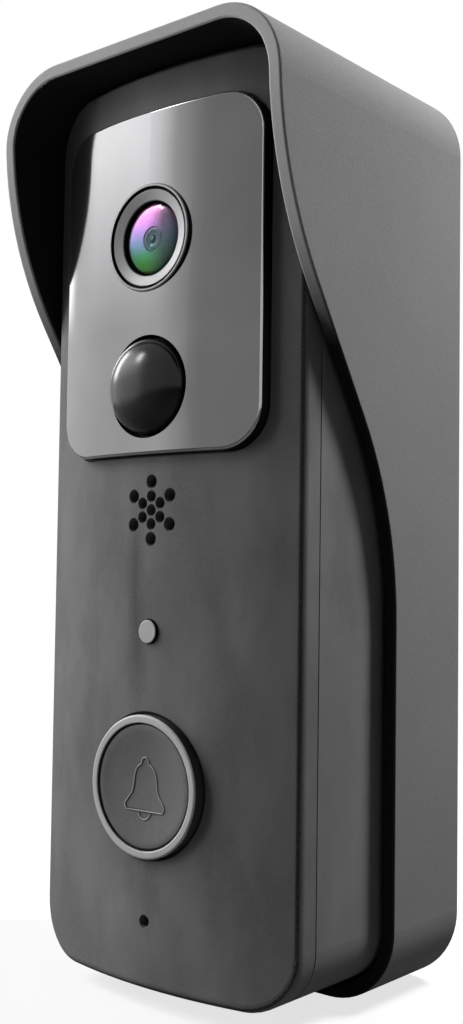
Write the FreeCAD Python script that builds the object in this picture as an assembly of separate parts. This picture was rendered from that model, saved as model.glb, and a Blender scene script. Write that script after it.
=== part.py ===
import FreeCAD, Part
import math
import os

os.makedirs("parts", exist_ok=True)

# A battery video doorbell in its rain hood, in millimetres.
# X is to the right, Y runs into the wall and Z is up, so the front faces -Y.
# The origin is on the wall, behind the middle of the hood. A depth is measured out from the wall.

# Face of the doorbell, from its top edge down to its bottom edge
panel_margin = 7.2
panel_height = 53.2
speaker_drop = 8.45
status_drop = 18.45
button_drop = 23.2
mic_drop = 20.1
bottom_margin = 10.2
panel_width = 41.0
side_margin = 5.6

# Case halves
body_corner = 9.0
crown_radius = 84.0
front_case_depth = 7.9
seam_gap = 0.25
case_wall = 2.0
front_edge_round = 1.4
rear_edge_round = 1.6
front_room = 12.2
touch_gap = 0.05

# Rain hood, with side edges that sweep back from the top to the low sides
hood_wall = 2.2
hood_clearance = 0.6
hood_overhang = 6.3
hood_low_depth = 18.7
sweep_radius = 56.4
sweep_angle = math.radians(33.0)
sweep_start = 8.9
rim_round = 0.4

# Steel bracket, clamped to the hood's back by the two wall screws
bracket_width = 34.0
bracket_height = 104.0
bracket_plate = 1.5
bracket_corner = 4.0
bracket_gap = 0.6
wall_hole_radius = 2.3
wall_hole_spacing = 84.0
wall_head_radius = 4.2
tongue_width = 6.0
tongue_reach = 5.0
tongue_spacing = 20.0
tongue_inset = 6.0
tongue_clearance = 0.3

# Lock screw through the hood's lip, into a brass insert in the doorbell
lock_depth = 12.5
lock_radius = 1.45
lock_length = 8.0
lock_head_radius = 2.7
lock_head_height = 1.25
lock_drive_radius = 1.0
lock_drive_depth = 0.8
lock_slot_clearance = 0.25
lock_ledge = 0.7
insert_wall = 0.8
insert_length = 5.0
lock_boss_wall = 1.1
thread_clearance = 0.05

# Glossy front panel
panel_corner = 6.5
panel_proud = 1.6
panel_recess = 1.0
panel_gap = 0.35
panel_edge_round = 0.45
tape_thick = 0.2
tape_width = 2.6

# Camera
lens_drop = 19.9
lens_ring_radius = 8.3
lens_ring_proud = 0.3
lens_ring_lip = 0.4
lens_ring_lift = 1.2
lens_ring_round = 0.2
lens_groove_width = 0.35
lens_groove_depth = 1.0
lens_shelf_drop = 0.25
lens_shelf_slope = 0.35
lens_glass_radius = 5.75
lens_glass_rise = 1.1
lens_glass_thick = 1.0
lens_sink = 0.1
lens_air = 0.4
barrel_radius = 5.0
barrel_bore = 3.7
barrel_length = 7.4
barrel_lip = 1.0
barrel_gap = 0.1
element_thick = 1.0
element_rise = 0.9
element_spacing = 2.8
holder_width = 13.0
holder_height = 5.0
holder_room = 1.5
holder_corner = 1.0
sensor_width = 7.0
sensor_height = 5.6
sensor_thick = 0.7
sensor_margin = 0.5
camera_board_width = 18.0
camera_board_height = 16.0
camera_board_thick = 0.8
camera_plug_width = 8.0
camera_plug_length = 3.0

# Night lights on a ring-shaped board behind the panel
light_board_drop = 2.2
light_board_thick = 0.8
light_board_radius = 13.4
night_light_radius = 1.5
night_light_circle = 11.0
night_light_gap = 0.6
night_light_tip = 1.0
light_hole_gap = 0.1
light_post_radius = 1.8
light_screw_length = 2.4

# Motion sensor
pir_rise = 10.35
pir_hole_radius = 7.9
pir_dome_radius = 6.9
pir_dome_rise = 4.2
pir_base_lift = 0.6
pir_gap = 0.1
pir_wall = 0.8
pir_flange = 1.5
pir_flange_thick = 0.8
pir_flange_gap = 0.17
pir_air = 1.4
pir_can_radius = 4.3
pir_can_length = 3.6
pir_can_rim = 0.5
pir_window_width = 4.0
pir_window_height = 3.0
pir_window_sink = 0.2
pir_holder_wall = 1.2
pir_holder_lip = 1.0

# Loudspeaker
speaker_radius = 9.0
speaker_thick = 4.2
speaker_wall = 1.1
speaker_rim = 1.2
foam_room = 2.0
foam_width = 1.6
magnet_radius = 5.5
magnet_thick = 2.6
cone_thick = 0.3
cone_rise = 1.5
cone_cap_radius = 3.0
cone_cap_rise = 0.7
grille_pitch = 2.12
grille_outer_pitch = 4.39
grille_hole_radius = 0.8
grille_outer_hole_radius = 0.95
mesh_thick = 0.2
hole_chamfer = 0.15
well_wall = 1.0
well_clearance = 0.1

# Status window and its light
status_radius = 1.8
status_flange = 0.7
status_flange_thick = 0.8
status_proud = 0.5
status_round = 0.2
status_gap = 0.15
led_size = 2.4
led_thick = 1.0
led_gap = 0.3

# Microphone on the board, with a rubber tube to the case
mic_hole_radius = 0.85
mic_width = 2.8
mic_height = 2.0
mic_thick = 1.0
mic_tube_radius = 2.6
mic_well_wall = 0.9
mic_well_reach = 2.4

# Bell button
button_ring_radius = 10.75
button_ring_width = 1.25
button_ring_proud = 1.1
button_ring_gap = 0.2
button_recess = 1.5
mouth_chamfer = 0.25
button_round = 0.4
cap_gap = 0.2
cap_sink = 0.3
cap_dish = 0.5
cap_rim = 0.7
cap_round = 0.3
cap_travel = 0.6
cap_floor_gap = 0.1
cap_skirt_wall = 1.2
cap_stop_overlap = 0.6
cap_stop_thick = 0.6
cap_stop_gap = 0.27
cap_hole_gap = 0.25
stem_radius = 1.5
seal_gap = 0.2
seal_thick = 0.6
seal_margin = 2.45
seal_boss_wall = 1.4
switch_size = 6.0
switch_thick = 3.4
plunger_radius = 1.6
plunger_rise = 1.6
plunger_inside = 0.7
plunger_room = 0.2

# Bell drawn on the cap as a fine groove
bell_foot = 4.0
bell_flare = 0.15
bell_waist = 2.75
bell_waist_height = 3.6
bell_shoulder = 2.4
bell_shoulder_height = 5.3
bell_shoulder_bulge = 0.35
bell_knob = 0.85
bell_neck_height = 7.0
bell_height = 7.9
bell_foot_drop = 3.5
bell_line = 0.35
bell_groove = 0.3
clapper_radius = 1.3

# Main board and what is on it
board_gap = 0.7
board_thick = 1.2
board_width = 40.0
board_corner = 1.5
board_top_margin = 9.9
board_bottom_margin = 9.4
board_tab_width = 22.0
board_tab_margin = 4.6
board_screw_inset = 2.5
board_screw_margin = 4.5
post_radius = 2.4
post_gap = 1.6
small_screw_radius = 1.0
small_screw_head = 1.9
small_screw_head_height = 1.3
small_screw_gap = 0.15
board_screw_length = 5.7
radio_width = 14.0
radio_length = 18.0
radio_thick = 2.4
radio_wall = 0.3
radio_margin = 7.5
chip_width = 15.0
chip_thick = 1.8
chip_gap = 2.5
antenna_width = 26.0
antenna_length = 7.0
antenna_thick = 0.6
antenna_margin = 12.5

# Battery bay
cell_radius = 9.2
cell_length = 65.0
cell_gap = 0.8
cell_cap_radius = 2.9
cell_cap_height = 0.9
bay_wall = 1.2
bay_clearance = 0.4
contact_room = 1.5
contact_width = 8.0
contact_thick = 0.3
contact_bump_radius = 1.6
contact_tail = 3.0
contact_slot_gap = 0.3
door_thick = 1.4
door_margin = 1.6
door_gap = 0.25
door_corner = 1.2
door_tab_width = 6.0
door_tab_thick = 0.7
door_tab_reach = 1.4
door_tab_spacing = 22.0
door_lug_width = 14.0
door_lug_height = 5.4
door_screw_length = 6.0
door_screw_web = 0.6

# Case screws, driven from the back
case_screw_inset = 5.6
case_screw_end = 3.0
case_boss_radius = 3.2
case_screw_length = 7.4
case_screw_grip = 4.0
case_screw_room = 0.5

# Service flap, charging port and reset button, in the bottom face
flap_width = 22.0
flap_length = 9.6
flap_thick = 1.3
flap_gap = 0.3
flap_corner = 0.8
flap_pin_radius = 0.4
flap_pin_reach = 1.0
flap_grip_width = 8.8
flap_grip_sink = 0.4
port_x = -3.5
port_width = 9.0
port_thick = 3.2
port_corner = 1.2
port_wall = 0.35
port_tongue = 0.7
port_tongue_width = 6.0
port_gap = 0.3
port_end_gap = 0.2
reset_x = 6.5
reset_radius = 1.1
reset_flange = 0.6
reset_flange_thick = 0.5
reset_travel = 0.3
reset_switch_size = 2.9
reset_gap = 0.1

# Seal between the case halves
seal_ring_width = 0.9
seal_ring_depth = 0.8

# Depths that follow, from the wall outwards
case_back = hood_wall + bracket_plate + bracket_gap
case_floor = case_back + case_wall
cell_depth = case_floor + bay_clearance / 2 + cell_radius
bay_front = case_floor + bay_clearance + 2 * cell_radius
board_back = bay_front + bay_wall + board_gap
board_front = board_back + board_thick
inside_crest = board_front + front_room
crest_depth = inside_crest + case_wall
seam_depth = crest_depth - front_case_depth
hood_top_depth = crest_depth + hood_overhang
panel_crest = crest_depth + panel_proud
recess_crest = crest_depth - panel_recess
panel_back_crest = recess_crest + tape_thick
lens_glass_depth = crest_depth - lens_sink
lens_glass_back = lens_glass_depth - lens_glass_thick
barrel_front = lens_glass_back - lens_air
barrel_back = barrel_front - barrel_length
holder_back = barrel_back - holder_room
light_board_depth = inside_crest - light_board_drop
speaker_depth = inside_crest - foam_room
speaker_back = speaker_depth - speaker_thick
button_seat = crest_depth - button_recess
button_ring_depth = crest_depth + button_ring_proud
cap_depth = button_ring_depth - cap_sink
cap_back = button_seat + cap_travel + cap_floor_gap
switch_front = board_front + switch_thick
plunger_front = switch_front + plunger_rise
case_screw_seat = seam_depth - case_screw_grip
port_depth = board_back - port_thick / 2
hinge_depth = port_depth - flap_length / 2

# Widths and heights that follow, from the middle of the body
body_width = panel_width + 2 * side_margin
face_drops = speaker_drop + status_drop + button_drop + mic_drop
body_height = panel_margin + panel_height + face_drops + bottom_margin
body_top = body_height / 2
body_bottom = -body_height / 2
panel_centre = body_top - panel_margin - panel_height / 2
lens_z = panel_centre + panel_height / 2 - lens_drop
pir_z = panel_centre - panel_height / 2 + pir_rise
speaker_z = panel_centre - panel_height / 2 - speaker_drop
status_z = speaker_z - status_drop
button_z = status_z - button_drop
mic_z = button_z - mic_drop
hood_width = body_width + 2 * (hood_clearance + hood_wall)
hood_height = body_height + 2 * (hood_clearance + hood_wall)
hood_corner = body_corner + hood_clearance + hood_wall
sweep_top = hood_height / 2 - sweep_start
tongue_z = bracket_height / 2 - tongue_inset
board_top = body_top - board_top_margin
board_bottom = body_bottom + board_bottom_margin
board_tab_bottom = body_bottom + board_tab_margin
bay_width = 4 * cell_radius + cell_gap + 2 * bay_clearance
bay_height = cell_length + 2 * contact_room
bay_centre = board_bottom + bay_height / 2
bay_top = board_bottom + bay_height
cell_x = cell_radius + cell_gap / 2
board_screw_x = board_width / 2 - board_screw_inset
board_screw_low = bay_top + bay_wall + post_gap + post_radius
board_screw_top = board_top - board_screw_margin
door_lug_z = bay_top + door_margin + door_lug_height / 2
case_screw_x = body_width / 2 - case_wall - case_screw_inset
case_screw_z = body_height / 2 - case_wall - case_screw_end
lip_bottom = -hood_height / 2
reset_switch_low = board_tab_bottom + port_end_gap
cap_radius = button_ring_radius - button_ring_width - cap_gap
skirt_radius = cap_radius - cap_stop_overlap
insert_radius = lock_radius + thread_clearance + insert_wall
mesh_radius = speaker_radius - foam_width
flap_floor = body_bottom + flap_thick + touch_gap


def vec(x, depth, z):
    return FreeCAD.Vector(x, -depth, z)


# A rounded rectangle, drawn where the given function puts its points
def rounded_face(width, height, corner, place):
    side = width / 2 - corner
    end = height / 2 - corner
    arcs = []
    for cu, cv, start in ((side, end, 0), (-side, end, 90), (-side, -end, 180), (side, -end, 270)):
        turns = [math.radians(start + turn) for turn in (0, 45, 90)]
        arcs.append([place(cu + corner * math.cos(a), cv + corner * math.sin(a)) for a in turns])
    edges = []
    for arc, following in zip(arcs, arcs[1:] + arcs[:1]):
        edges.append(Part.Arc(*arc).toShape())
        edges.append(Part.LineSegment(arc[2], following[0]).toShape())
    return Part.Face(Part.Wire(edges))


# A rounded block from one depth back to another
def block(width, height, corner, front, back, x=0.0, z=0.0):
    face = rounded_face(width, height, corner, lambda u, v: vec(x + u, front, z + v))
    return face.extrude(FreeCAD.Vector(0, front - back, 0))


# A rounded block that stands upright
def upright_block(width, thick, corner, z0, z1, x, depth):
    face = rounded_face(width, thick, corner, lambda u, v: vec(x + u, depth - v, z0))
    return face.extrude(FreeCAD.Vector(0, 0, z1 - z0))


def box(x0, x1, front, back, z0, z1):
    return Part.makeBox(x1 - x0, front - back, z1 - z0, vec(x0, front, z0))


def disc(radius, front, back, x=0.0, z=0.0):
    return Part.makeCylinder(radius, front - back, vec(x, front, z), FreeCAD.Vector(0, 1, 0))


def hoop(outer, inner, front, back, x=0.0, z=0.0):
    return disc(outer, front, back, x, z).cut(disc(inner, front, back, x, z))


def upright(radius, x, depth, z0, z1):
    return Part.makeCylinder(radius, z1 - z0, vec(x, depth, z0), FreeCAD.Vector(0, 0, 1))


# A body of revolution about a line along Y. Each entry is (radius, depth), reached by a straight line,
# or (radius, depth, radius and depth of a point on the way), reached by an arc.
def turned(profile, x, z):
    points = [vec(x + entry[0], entry[1], z) for entry in profile]
    edges = []
    for entry, start, end in zip(profile[1:] + profile[:1], points, points[1:] + points[:1]):
        if len(entry) == 4:
            edges.append(Part.Arc(start, vec(x + entry[2], entry[3], z), end).toShape())
        else:
            edges.append(Part.LineSegment(start, end).toShape())
    face = Part.Face(Part.Wire(edges))
    return face.revolve(vec(x, 0, z), FreeCAD.Vector(0, 1, 0), 360)


# Two entries that round a corner which points out and to the front
def outer_round(radius, depth, size):
    lift = size * math.sqrt(0.5)
    return [(radius, depth - size), (radius - size, depth, radius - size + lift, depth - size + lift)]


# Two entries that round a corner which points in and to the front
def inner_round(radius, depth, size):
    lift = size * math.sqrt(0.5)
    return [(radius + size, depth), (radius, depth - size, radius + size - lift, depth - size + lift)]


# Radius and depth halfway along a spherical cap's section
def cap_middle(radius, rise, depth):
    ball = (radius ** 2 + rise ** 2) / (2 * rise)
    half = math.asin(radius / ball) / 2
    return ball * math.sin(half), depth + rise - ball * (1 - math.cos(half))


# Entry that reaches the tip of a spherical cap from its rim
def to_tip(radius, rise, depth):
    return (0, depth + rise) + cap_middle(radius, rise, depth)


# Entry that reaches the rim of a spherical cap from its tip
def to_rim(radius, rise, depth):
    return (radius, depth) + cap_middle(radius, rise, depth)


def fuse(shapes):
    return shapes[0].multiFuse(shapes[1:]).removeSplitter()


def cut(shape, tools):
    return shape.cut(Part.makeCompound(tools))


# The crowned surfaces share one upright axis; each is named by the depth of its crest
def crown_depth(x, crest):
    radius = crown_radius - crest_depth + crest
    return crest - radius + math.sqrt(radius ** 2 - x ** 2)


def behind_crown(crest):
    radius = crown_radius - crest_depth + crest
    return Part.makeCylinder(radius, 2 * body_height, vec(0, crest - radius, -body_height))


def crown_skin(front_crest, back_crest):
    return behind_crown(front_crest).cut(behind_crown(back_crest))


def crowned_block(width, height, corner, crest, back, x=0.0, z=0.0):
    return block(width, height, corner, crest, back, x, z).common(behind_crown(crest))


def crown_edges(shape, crest):
    def on_crown(vertex):
        return abs(vertex.Y + crown_depth(vertex.X, crest)) < 1e-4

    return [edge for edge in shape.Edges if all(on_crown(vertex) for vertex in edge.Vertexes)]


# The edge round the mouth of a round opening in a crowned face
def round_mouth(shape, crest, radius, z):
    def on_circle(vertex):
        return abs(math.hypot(vertex.X, vertex.Z - z) - radius) < 1e-4

    return [e for e in crown_edges(shape, crest) if all(on_circle(vertex) for vertex in e.Vertexes)]


def edges_at_depth(shape, depth):
    return [edge for edge in shape.Edges if all(abs(vertex.Y + depth) < 1e-4 for vertex in edge.Vertexes)]


# A hole through the case's front with a fine chamfer at its mouth
def mouth_hole(radius, back, x, z):
    mouth = crown_depth(x, crest_depth)
    front = crest_depth + hole_chamfer
    wide = radius + hole_chamfer + front - mouth
    profile = [(0, back), (radius, back), (radius, mouth - hole_chamfer), (wide, front), (0, front)]
    return turned(profile, x, z)


# A round-headed screw; the seat is the plane under its head
def screw(radius, length, head_radius, head_height, seat, x, z, toward_front=True):
    sign = 1 if toward_front else -1
    top = seat - sign * head_height
    tip = seat + sign * length
    profile = [(0, top), (head_radius, top), (head_radius, seat), (radius, seat), (radius, tip), (0, tip)]
    return turned(profile, x, z)


def small_screw(length, head_height, seat, x, z, toward_front=True):
    return screw(small_screw_radius, length, small_screw_head, head_height, seat, x, z, toward_front)


def four_places(x, z):
    return [(sx * x, sz * z) for sx in (-1, 1) for sz in (-1, 1)]


def case_screw_places():
    return four_places(case_screw_x, case_screw_z)


def board_screw_places():
    return [(sx * board_screw_x, z) for sx in (-1, 1) for z in (board_screw_low, board_screw_top)]


def light_post_places():
    return [(sx * night_light_circle, lens_z) for sx in (-1, 1)]


def night_light_places():
    offset = night_light_circle * math.sqrt(0.5)
    return [(x, lens_z + z) for x, z in four_places(offset, offset)]


def tongue_places():
    return (-tongue_spacing / 2, tongue_spacing / 2)


def wall_hole_places():
    return (-wall_hole_spacing / 2, wall_hole_spacing / 2)


def door_tab_places():
    return (-door_tab_spacing / 2, door_tab_spacing / 2)


# A centre hole and two rings of six, as x, z and radius
def grille_holes():
    holes = [(0, speaker_z, grille_hole_radius)]
    for i in range(6):
        turn = math.radians(30 + 60 * i)
        rings = ((grille_pitch, grille_hole_radius), (grille_outer_pitch, grille_outer_hole_radius))
        for pitch, radius in rings:
            holes.append((pitch * math.cos(turn), speaker_z + pitch * math.sin(turn), radius))
    return holes


# How far the sweep falls in its two arcs and in the straight between them
def sweep_parts():
    arc_fall = sweep_radius * math.sin(sweep_angle)
    arc_step = sweep_radius * (1 - math.cos(sweep_angle))
    straight_fall = (hood_top_depth - hood_low_depth - 2 * arc_step) / math.tan(sweep_angle)
    return arc_fall, straight_fall


# Depth of the hood's side edge at one height
def hood_edge_depth(z):
    arc_fall, straight_fall = sweep_parts()
    fall = sweep_top - z
    rest = 2 * arc_fall + straight_fall - fall
    if fall <= 0:
        return hood_top_depth
    if rest <= 0:
        return hood_low_depth
    if fall < arc_fall:
        return hood_top_depth - sweep_radius + math.sqrt(sweep_radius ** 2 - fall ** 2)
    if rest < arc_fall:
        return hood_low_depth + sweep_radius - math.sqrt(sweep_radius ** 2 - rest ** 2)
    upper = hood_top_depth - sweep_radius * (1 - math.cos(sweep_angle))
    return upper - (fall - arc_fall) * math.tan(sweep_angle)


# The hood seen from the side, as a block across its whole width
def hood_side():
    arc_fall, straight_fall = sweep_parts()
    arc_middle = sweep_radius * math.sin(sweep_angle / 2)
    sweep_bottom = sweep_top - 2 * arc_fall - straight_fall

    def on_edge(z):
        return vec(-hood_width, hood_edge_depth(z), z)

    top = on_edge(hood_height / 2)
    bottom = on_edge(-hood_height / 2)
    bends = [on_edge(z) for z in (sweep_top, sweep_top - arc_middle, sweep_top - arc_fall)]
    returns = [on_edge(z) for z in (sweep_bottom + arc_fall, sweep_bottom + arc_middle, sweep_bottom)]
    back_top = vec(-hood_width, 0, hood_height / 2)
    back_bottom = vec(-hood_width, 0, -hood_height / 2)
    edges = [
        Part.LineSegment(back_top, top),
        Part.LineSegment(top, bends[0]),
        Part.Arc(*bends),
        Part.LineSegment(bends[2], returns[0]),
        Part.Arc(*returns),
        Part.LineSegment(returns[2], bottom),
        Part.LineSegment(bottom, back_bottom),
        Part.LineSegment(back_bottom, back_top),
    ]
    face = Part.Face(Part.Wire([edge.toShape() for edge in edges]))
    return face.extrude(FreeCAD.Vector(2 * hood_width, 0, 0))


# The long edges of the hood's front rim, without the short ones that cross it
def rim_edges(hood):
    def on_rim(vertex):
        return abs(vertex.Y + hood_edge_depth(vertex.Z)) < 1e-4

    def crosses(edge):
        return abs(edge.BoundBox.XLength - hood_wall) < 1e-4 and edge.BoundBox.ZLength < 1e-4

    return [e for e in hood.Edges if all(on_rim(v) for v in e.Vertexes) and not crosses(e)]


# Slot in the hood's lip, open to the front, so that the doorbell draws out with its lock screw
def lip_slot(half_width, z0, z1):
    straight = box(-half_width, half_width, hood_low_depth + hood_wall, lock_depth, z0, z1)
    return straight.fuse(upright(half_width, 0, lock_depth, z0, z1))


def make_rain_hood():
    outer = block(hood_width, hood_height, hood_corner, hood_top_depth + hood_wall, 0)
    inner = block(hood_width - 2 * hood_wall, hood_height - 2 * hood_wall, hood_corner - hood_wall,
                  hood_top_depth + hood_wall, hood_wall)
    hood = outer.cut(inner).common(hood_side())
    hood = hood.makeFillet(rim_round, rim_edges(hood))
    ledge = lip_bottom + hood_wall - lock_ledge
    tools = [
        lip_slot(lock_head_radius + lock_slot_clearance, lip_bottom - hood_wall, ledge),
        lip_slot(lock_radius + lock_slot_clearance, ledge, lip_bottom + 2 * hood_wall),
    ]
    tools += [disc(wall_hole_radius, hood_wall, 0, 0, z) for z in wall_hole_places()]
    return cut(hood, tools)


# Steel plate with two tongues that enter the back of the doorbell
def make_wall_bracket():
    front = hood_wall + bracket_plate
    half = tongue_width / 2
    low = tongue_z - bracket_plate / 2
    plate = block(bracket_width, bracket_height, bracket_corner, front, hood_wall)
    tongues = [
        box(x - half, x + half, front + tongue_reach, hood_wall, low, low + bracket_plate)
        for x in tongue_places()
    ]
    sink = [(0, hood_wall), (wall_hole_radius, hood_wall), (wall_head_radius, front), (0, front)]
    return cut(fuse([plate] + tongues), [turned(sink, 0, z) for z in wall_hole_places()])


def make_lock_screw():
    top = lip_bottom + hood_wall - lock_ledge - touch_gap
    low = top - lock_head_height
    head = upright(lock_head_radius, 0, lock_depth, low, top)
    shank = upright(lock_radius, 0, lock_depth, top, top + lock_length)
    drive = upright(lock_drive_radius, 0, lock_depth, low, low + lock_drive_depth)
    return fuse([head, shank]).cut(drive)


def make_lock_insert():
    end = body_bottom + insert_length
    sleeve = upright(insert_radius, 0, lock_depth, body_bottom, end)
    return sleeve.cut(upright(lock_radius + thread_clearance, 0, lock_depth, body_bottom, end))


def make_case_seal():
    return seal_loop(seam_depth + seam_gap / 2, seam_depth - seam_gap / 2 - seal_ring_depth)


# Loop along the middle of the case wall, which is both the seal and its groove
def seal_loop(front, back):
    outer_inset = (case_wall - seal_ring_width) / 2
    inner_inset = (case_wall + seal_ring_width) / 2
    outer = block(body_width - 2 * outer_inset, body_height - 2 * outer_inset, body_corner - outer_inset,
                  front, back)
    inner = block(body_width - 2 * inner_inset, body_height - 2 * inner_inset, body_corner - inner_inset,
                  front, back)
    return outer.cut(inner)


def make_case_screws():
    return Part.makeCompound([
        small_screw(case_screw_length, small_screw_head_height, case_screw_seat, x, z)
        for x, z in case_screw_places()
    ])


# Bosses and wells that stand on the inside of the front case
def front_case_bosses():
    speaker_well = speaker_radius + well_clearance
    mic_well = mic_tube_radius + well_clearance
    seal_radius = button_ring_radius + seal_margin
    back = seam_depth + seam_gap / 2
    bosses = [disc(case_boss_radius, crest_depth, back, x, z) for x, z in case_screw_places()]
    bosses += [disc(light_post_radius, crest_depth, light_board_depth, x, z) for x, z in light_post_places()]
    bosses.append(hoop(speaker_well + well_wall, speaker_well, crest_depth, speaker_back, 0, speaker_z))
    bosses.append(hoop(seal_radius, seal_radius - seal_boss_wall, crest_depth, seal_front(), 0, button_z))
    mic_back = inside_crest - mic_well_reach
    bosses.append(hoop(mic_well + mic_well_wall, mic_well, crest_depth, mic_back, 0, mic_z))
    inner_half = behind_crown(inside_crest + case_wall / 2)
    return [boss.common(inner_half) for boss in bosses]


# Front half of the case: a crowned shell with the panel's recess, the openings and the inner bosses
def make_front_case():
    shell = crowned_block(body_width, body_height, body_corner, crest_depth, seam_depth + seam_gap / 2)
    shell = shell.makeFillet(front_edge_round, crown_edges(shell, crest_depth))
    hollow = crowned_block(body_width - 2 * case_wall, body_height - 2 * case_wall, body_corner - case_wall,
                           inside_crest, seam_depth)
    case = fuse([shell.cut(hollow)] + front_case_bosses())

    recess = block(panel_width + 2 * panel_gap, panel_height + 2 * panel_gap, panel_corner + panel_gap,
                   panel_crest, seam_depth, 0, panel_centre)
    screw_end = case_screw_seat + case_screw_length + case_screw_room
    light_screw_end = light_board_depth - light_board_thick + light_screw_length + touch_gap
    thread = small_screw_radius + thread_clearance
    tools = [
        recess.cut(behind_crown(recess_crest)),
        disc(lens_ring_radius + panel_gap, crest_depth, seam_depth, 0, lens_z),
        disc(pir_dome_radius + pir_gap, crest_depth, seam_depth, 0, pir_z),
        disc(button_ring_radius + button_ring_gap, panel_crest, button_seat, 0, button_z),
        disc(skirt_radius + cap_hole_gap, crest_depth, seam_depth, 0, button_z),
        disc(status_radius + status_gap, crest_depth, seam_depth, 0, status_z),
        mouth_hole(mic_hole_radius, seam_depth, 0, mic_z),
    ]
    tools += [mouth_hole(radius, speaker_depth, x, z) for x, z, radius in grille_holes()]
    for x, z in night_light_places():
        tools.append(disc(night_light_radius + light_hole_gap, crest_depth, seam_depth, x, z))
    tools += [disc(thread, screw_end, seam_depth, x, z) for x, z in case_screw_places()]
    tools += [disc(thread, light_screw_end, seam_depth, x, z) for x, z in light_post_places()]
    case = cut(case, tools)
    button_mouth = round_mouth(case, crest_depth, button_ring_radius + button_ring_gap, button_z)
    return case.makeChamfer(mouth_chamfer, button_mouth)


# The battery bay's walls, the posts and the bosses that stand in the rear case
def rear_case_bosses():
    front = seam_depth - seam_gap / 2
    lug_end = case_back + door_thick + door_screw_length + bay_wall
    lock_end = body_bottom + insert_length + lock_boss_wall
    bosses = [block(bay_width + 2 * bay_wall, bay_height + 2 * bay_wall, bay_wall, bay_front + bay_wall,
                    case_back, 0, bay_centre)]
    bosses += [disc(case_boss_radius, front, case_back, x, z) for x, z in case_screw_places()]
    bosses += [disc(post_radius, board_back, case_back, x, z) for x, z in board_screw_places()]
    bosses.append(disc(post_radius, lug_end, case_back, 0, door_lug_z))
    bosses.append(upright(insert_radius + lock_boss_wall, 0, lock_depth, body_bottom, lock_end))
    return bosses


# Openings in the back of the rear case, for the bracket's tongues, the door, its tabs and the screws
def back_openings():
    behind = hood_wall
    thread = small_screw_radius + thread_clearance
    tools = [
        block(bay_width, bay_height, bay_wall / 2, bay_front, behind, 0, bay_centre),
        door_outline(door_gap, case_back + door_thick + touch_gap, behind),
        disc(thread, case_back + door_thick + door_screw_length, behind, 0, door_lug_z),
    ]
    tab_half = door_tab_width / 2 + door_gap
    tab_back = case_back + door_thick - door_tab_thick - door_gap
    tab_low = board_bottom - door_margin - door_tab_reach - door_gap
    for x in door_tab_places():
        tools.append(box(x - tab_half, x + tab_half, case_floor, tab_back, tab_low, board_bottom))
    half = tongue_width / 2 + tongue_clearance
    slot = bracket_plate / 2 + tongue_clearance
    for x in tongue_places():
        tools.append(box(x - half, x + half, case_floor, behind, tongue_z - slot, tongue_z + slot))
    for x, z in case_screw_places():
        tools.append(disc(small_screw_radius + small_screw_gap, seam_depth, behind, x, z))
        tools.append(disc(small_screw_head + small_screw_gap, case_screw_seat, behind, x, z))
    return tools


# Pocket for the flap with its pin holes, and the holes for the plug and the reset button
def bottom_openings():
    below = body_bottom - case_wall
    above = body_bottom + 2 * case_wall
    pocket_front = port_depth + flap_length / 2 + flap_gap
    pocket_back = hinge_depth - flap_thick / 2 - flap_gap
    half = flap_width / 2 + flap_gap
    return [
        box(-half, half, pocket_front, pocket_back, below, flap_floor),
        flap_pin(flap_pin_radius + touch_gap, flap_pin_reach + touch_gap),
        upright_block(port_width + 2 * port_gap, port_thick + 2 * port_gap, port_corner + port_gap,
                      below, above, port_x, port_depth),
        upright(reset_radius + reset_gap, reset_x, port_depth, below, above),
    ]


# Rear half of the case: a tub with the battery bay, the posts and the openings at the back and the bottom
def make_rear_case():
    front = seam_depth - seam_gap / 2
    tub = block(body_width, body_height, body_corner, front, case_back)
    tub = tub.makeFillet(rear_edge_round, edges_at_depth(tub, case_back))
    tub = tub.cut(block(body_width - 2 * case_wall, body_height - 2 * case_wall, body_corner - case_wall,
                        front, case_floor))
    case = fuse([tub] + rear_case_bosses())
    thread = small_screw_radius + thread_clearance
    insert_top = body_bottom + insert_length
    screw_room = insert_top + lock_boss_wall
    tools = back_openings() + bottom_openings() + contact_tails(contact_slot_gap)
    board_screw_end = board_back - board_screw_length
    tools += [disc(thread, board_back, board_screw_end, x, z) for x, z in board_screw_places()]
    tools.append(upright(insert_radius + touch_gap, 0, lock_depth, body_bottom - case_wall, insert_top))
    tools.append(upright(lock_radius + thread_clearance, 0, lock_depth, body_bottom, screw_room))
    tools.append(seal_loop(front, front - seal_ring_depth))
    return cut(case, tools)


# Battery door: a plate over the bay with a lug at its top for the screw
def door_outline(gap, front, back):
    edge = door_margin + gap
    plate = block(bay_width + 2 * edge, bay_height + 2 * edge, door_corner + gap, front, back, 0, bay_centre)
    lug_top = door_lug_z + door_lug_height / 2 + gap
    lug = block(door_lug_width + 2 * gap, lug_top - bay_top, door_corner + gap, front, back,
                0, (lug_top + bay_top) / 2)
    return plate.fuse(lug)


def make_battery_door():
    front = case_back + door_thick
    low = board_bottom - door_margin
    half = door_tab_width / 2
    tabs = [
        box(x - half, x + half, front, front - door_tab_thick, low - door_tab_reach, low + door_margin)
        for x in door_tab_places()
    ]
    return cut(fuse([door_outline(0, front, case_back)] + tabs), [
        disc(small_screw_radius + small_screw_gap, front, case_back, 0, door_lug_z),
        disc(small_screw_head + small_screw_gap, front - door_screw_web, case_back, 0, door_lug_z),
    ])


def make_door_screw():
    seat = case_back + door_thick - door_screw_web
    head = door_thick - door_screw_web - touch_gap
    return small_screw(door_screw_length, head, seat, 0, door_lug_z)


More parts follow.
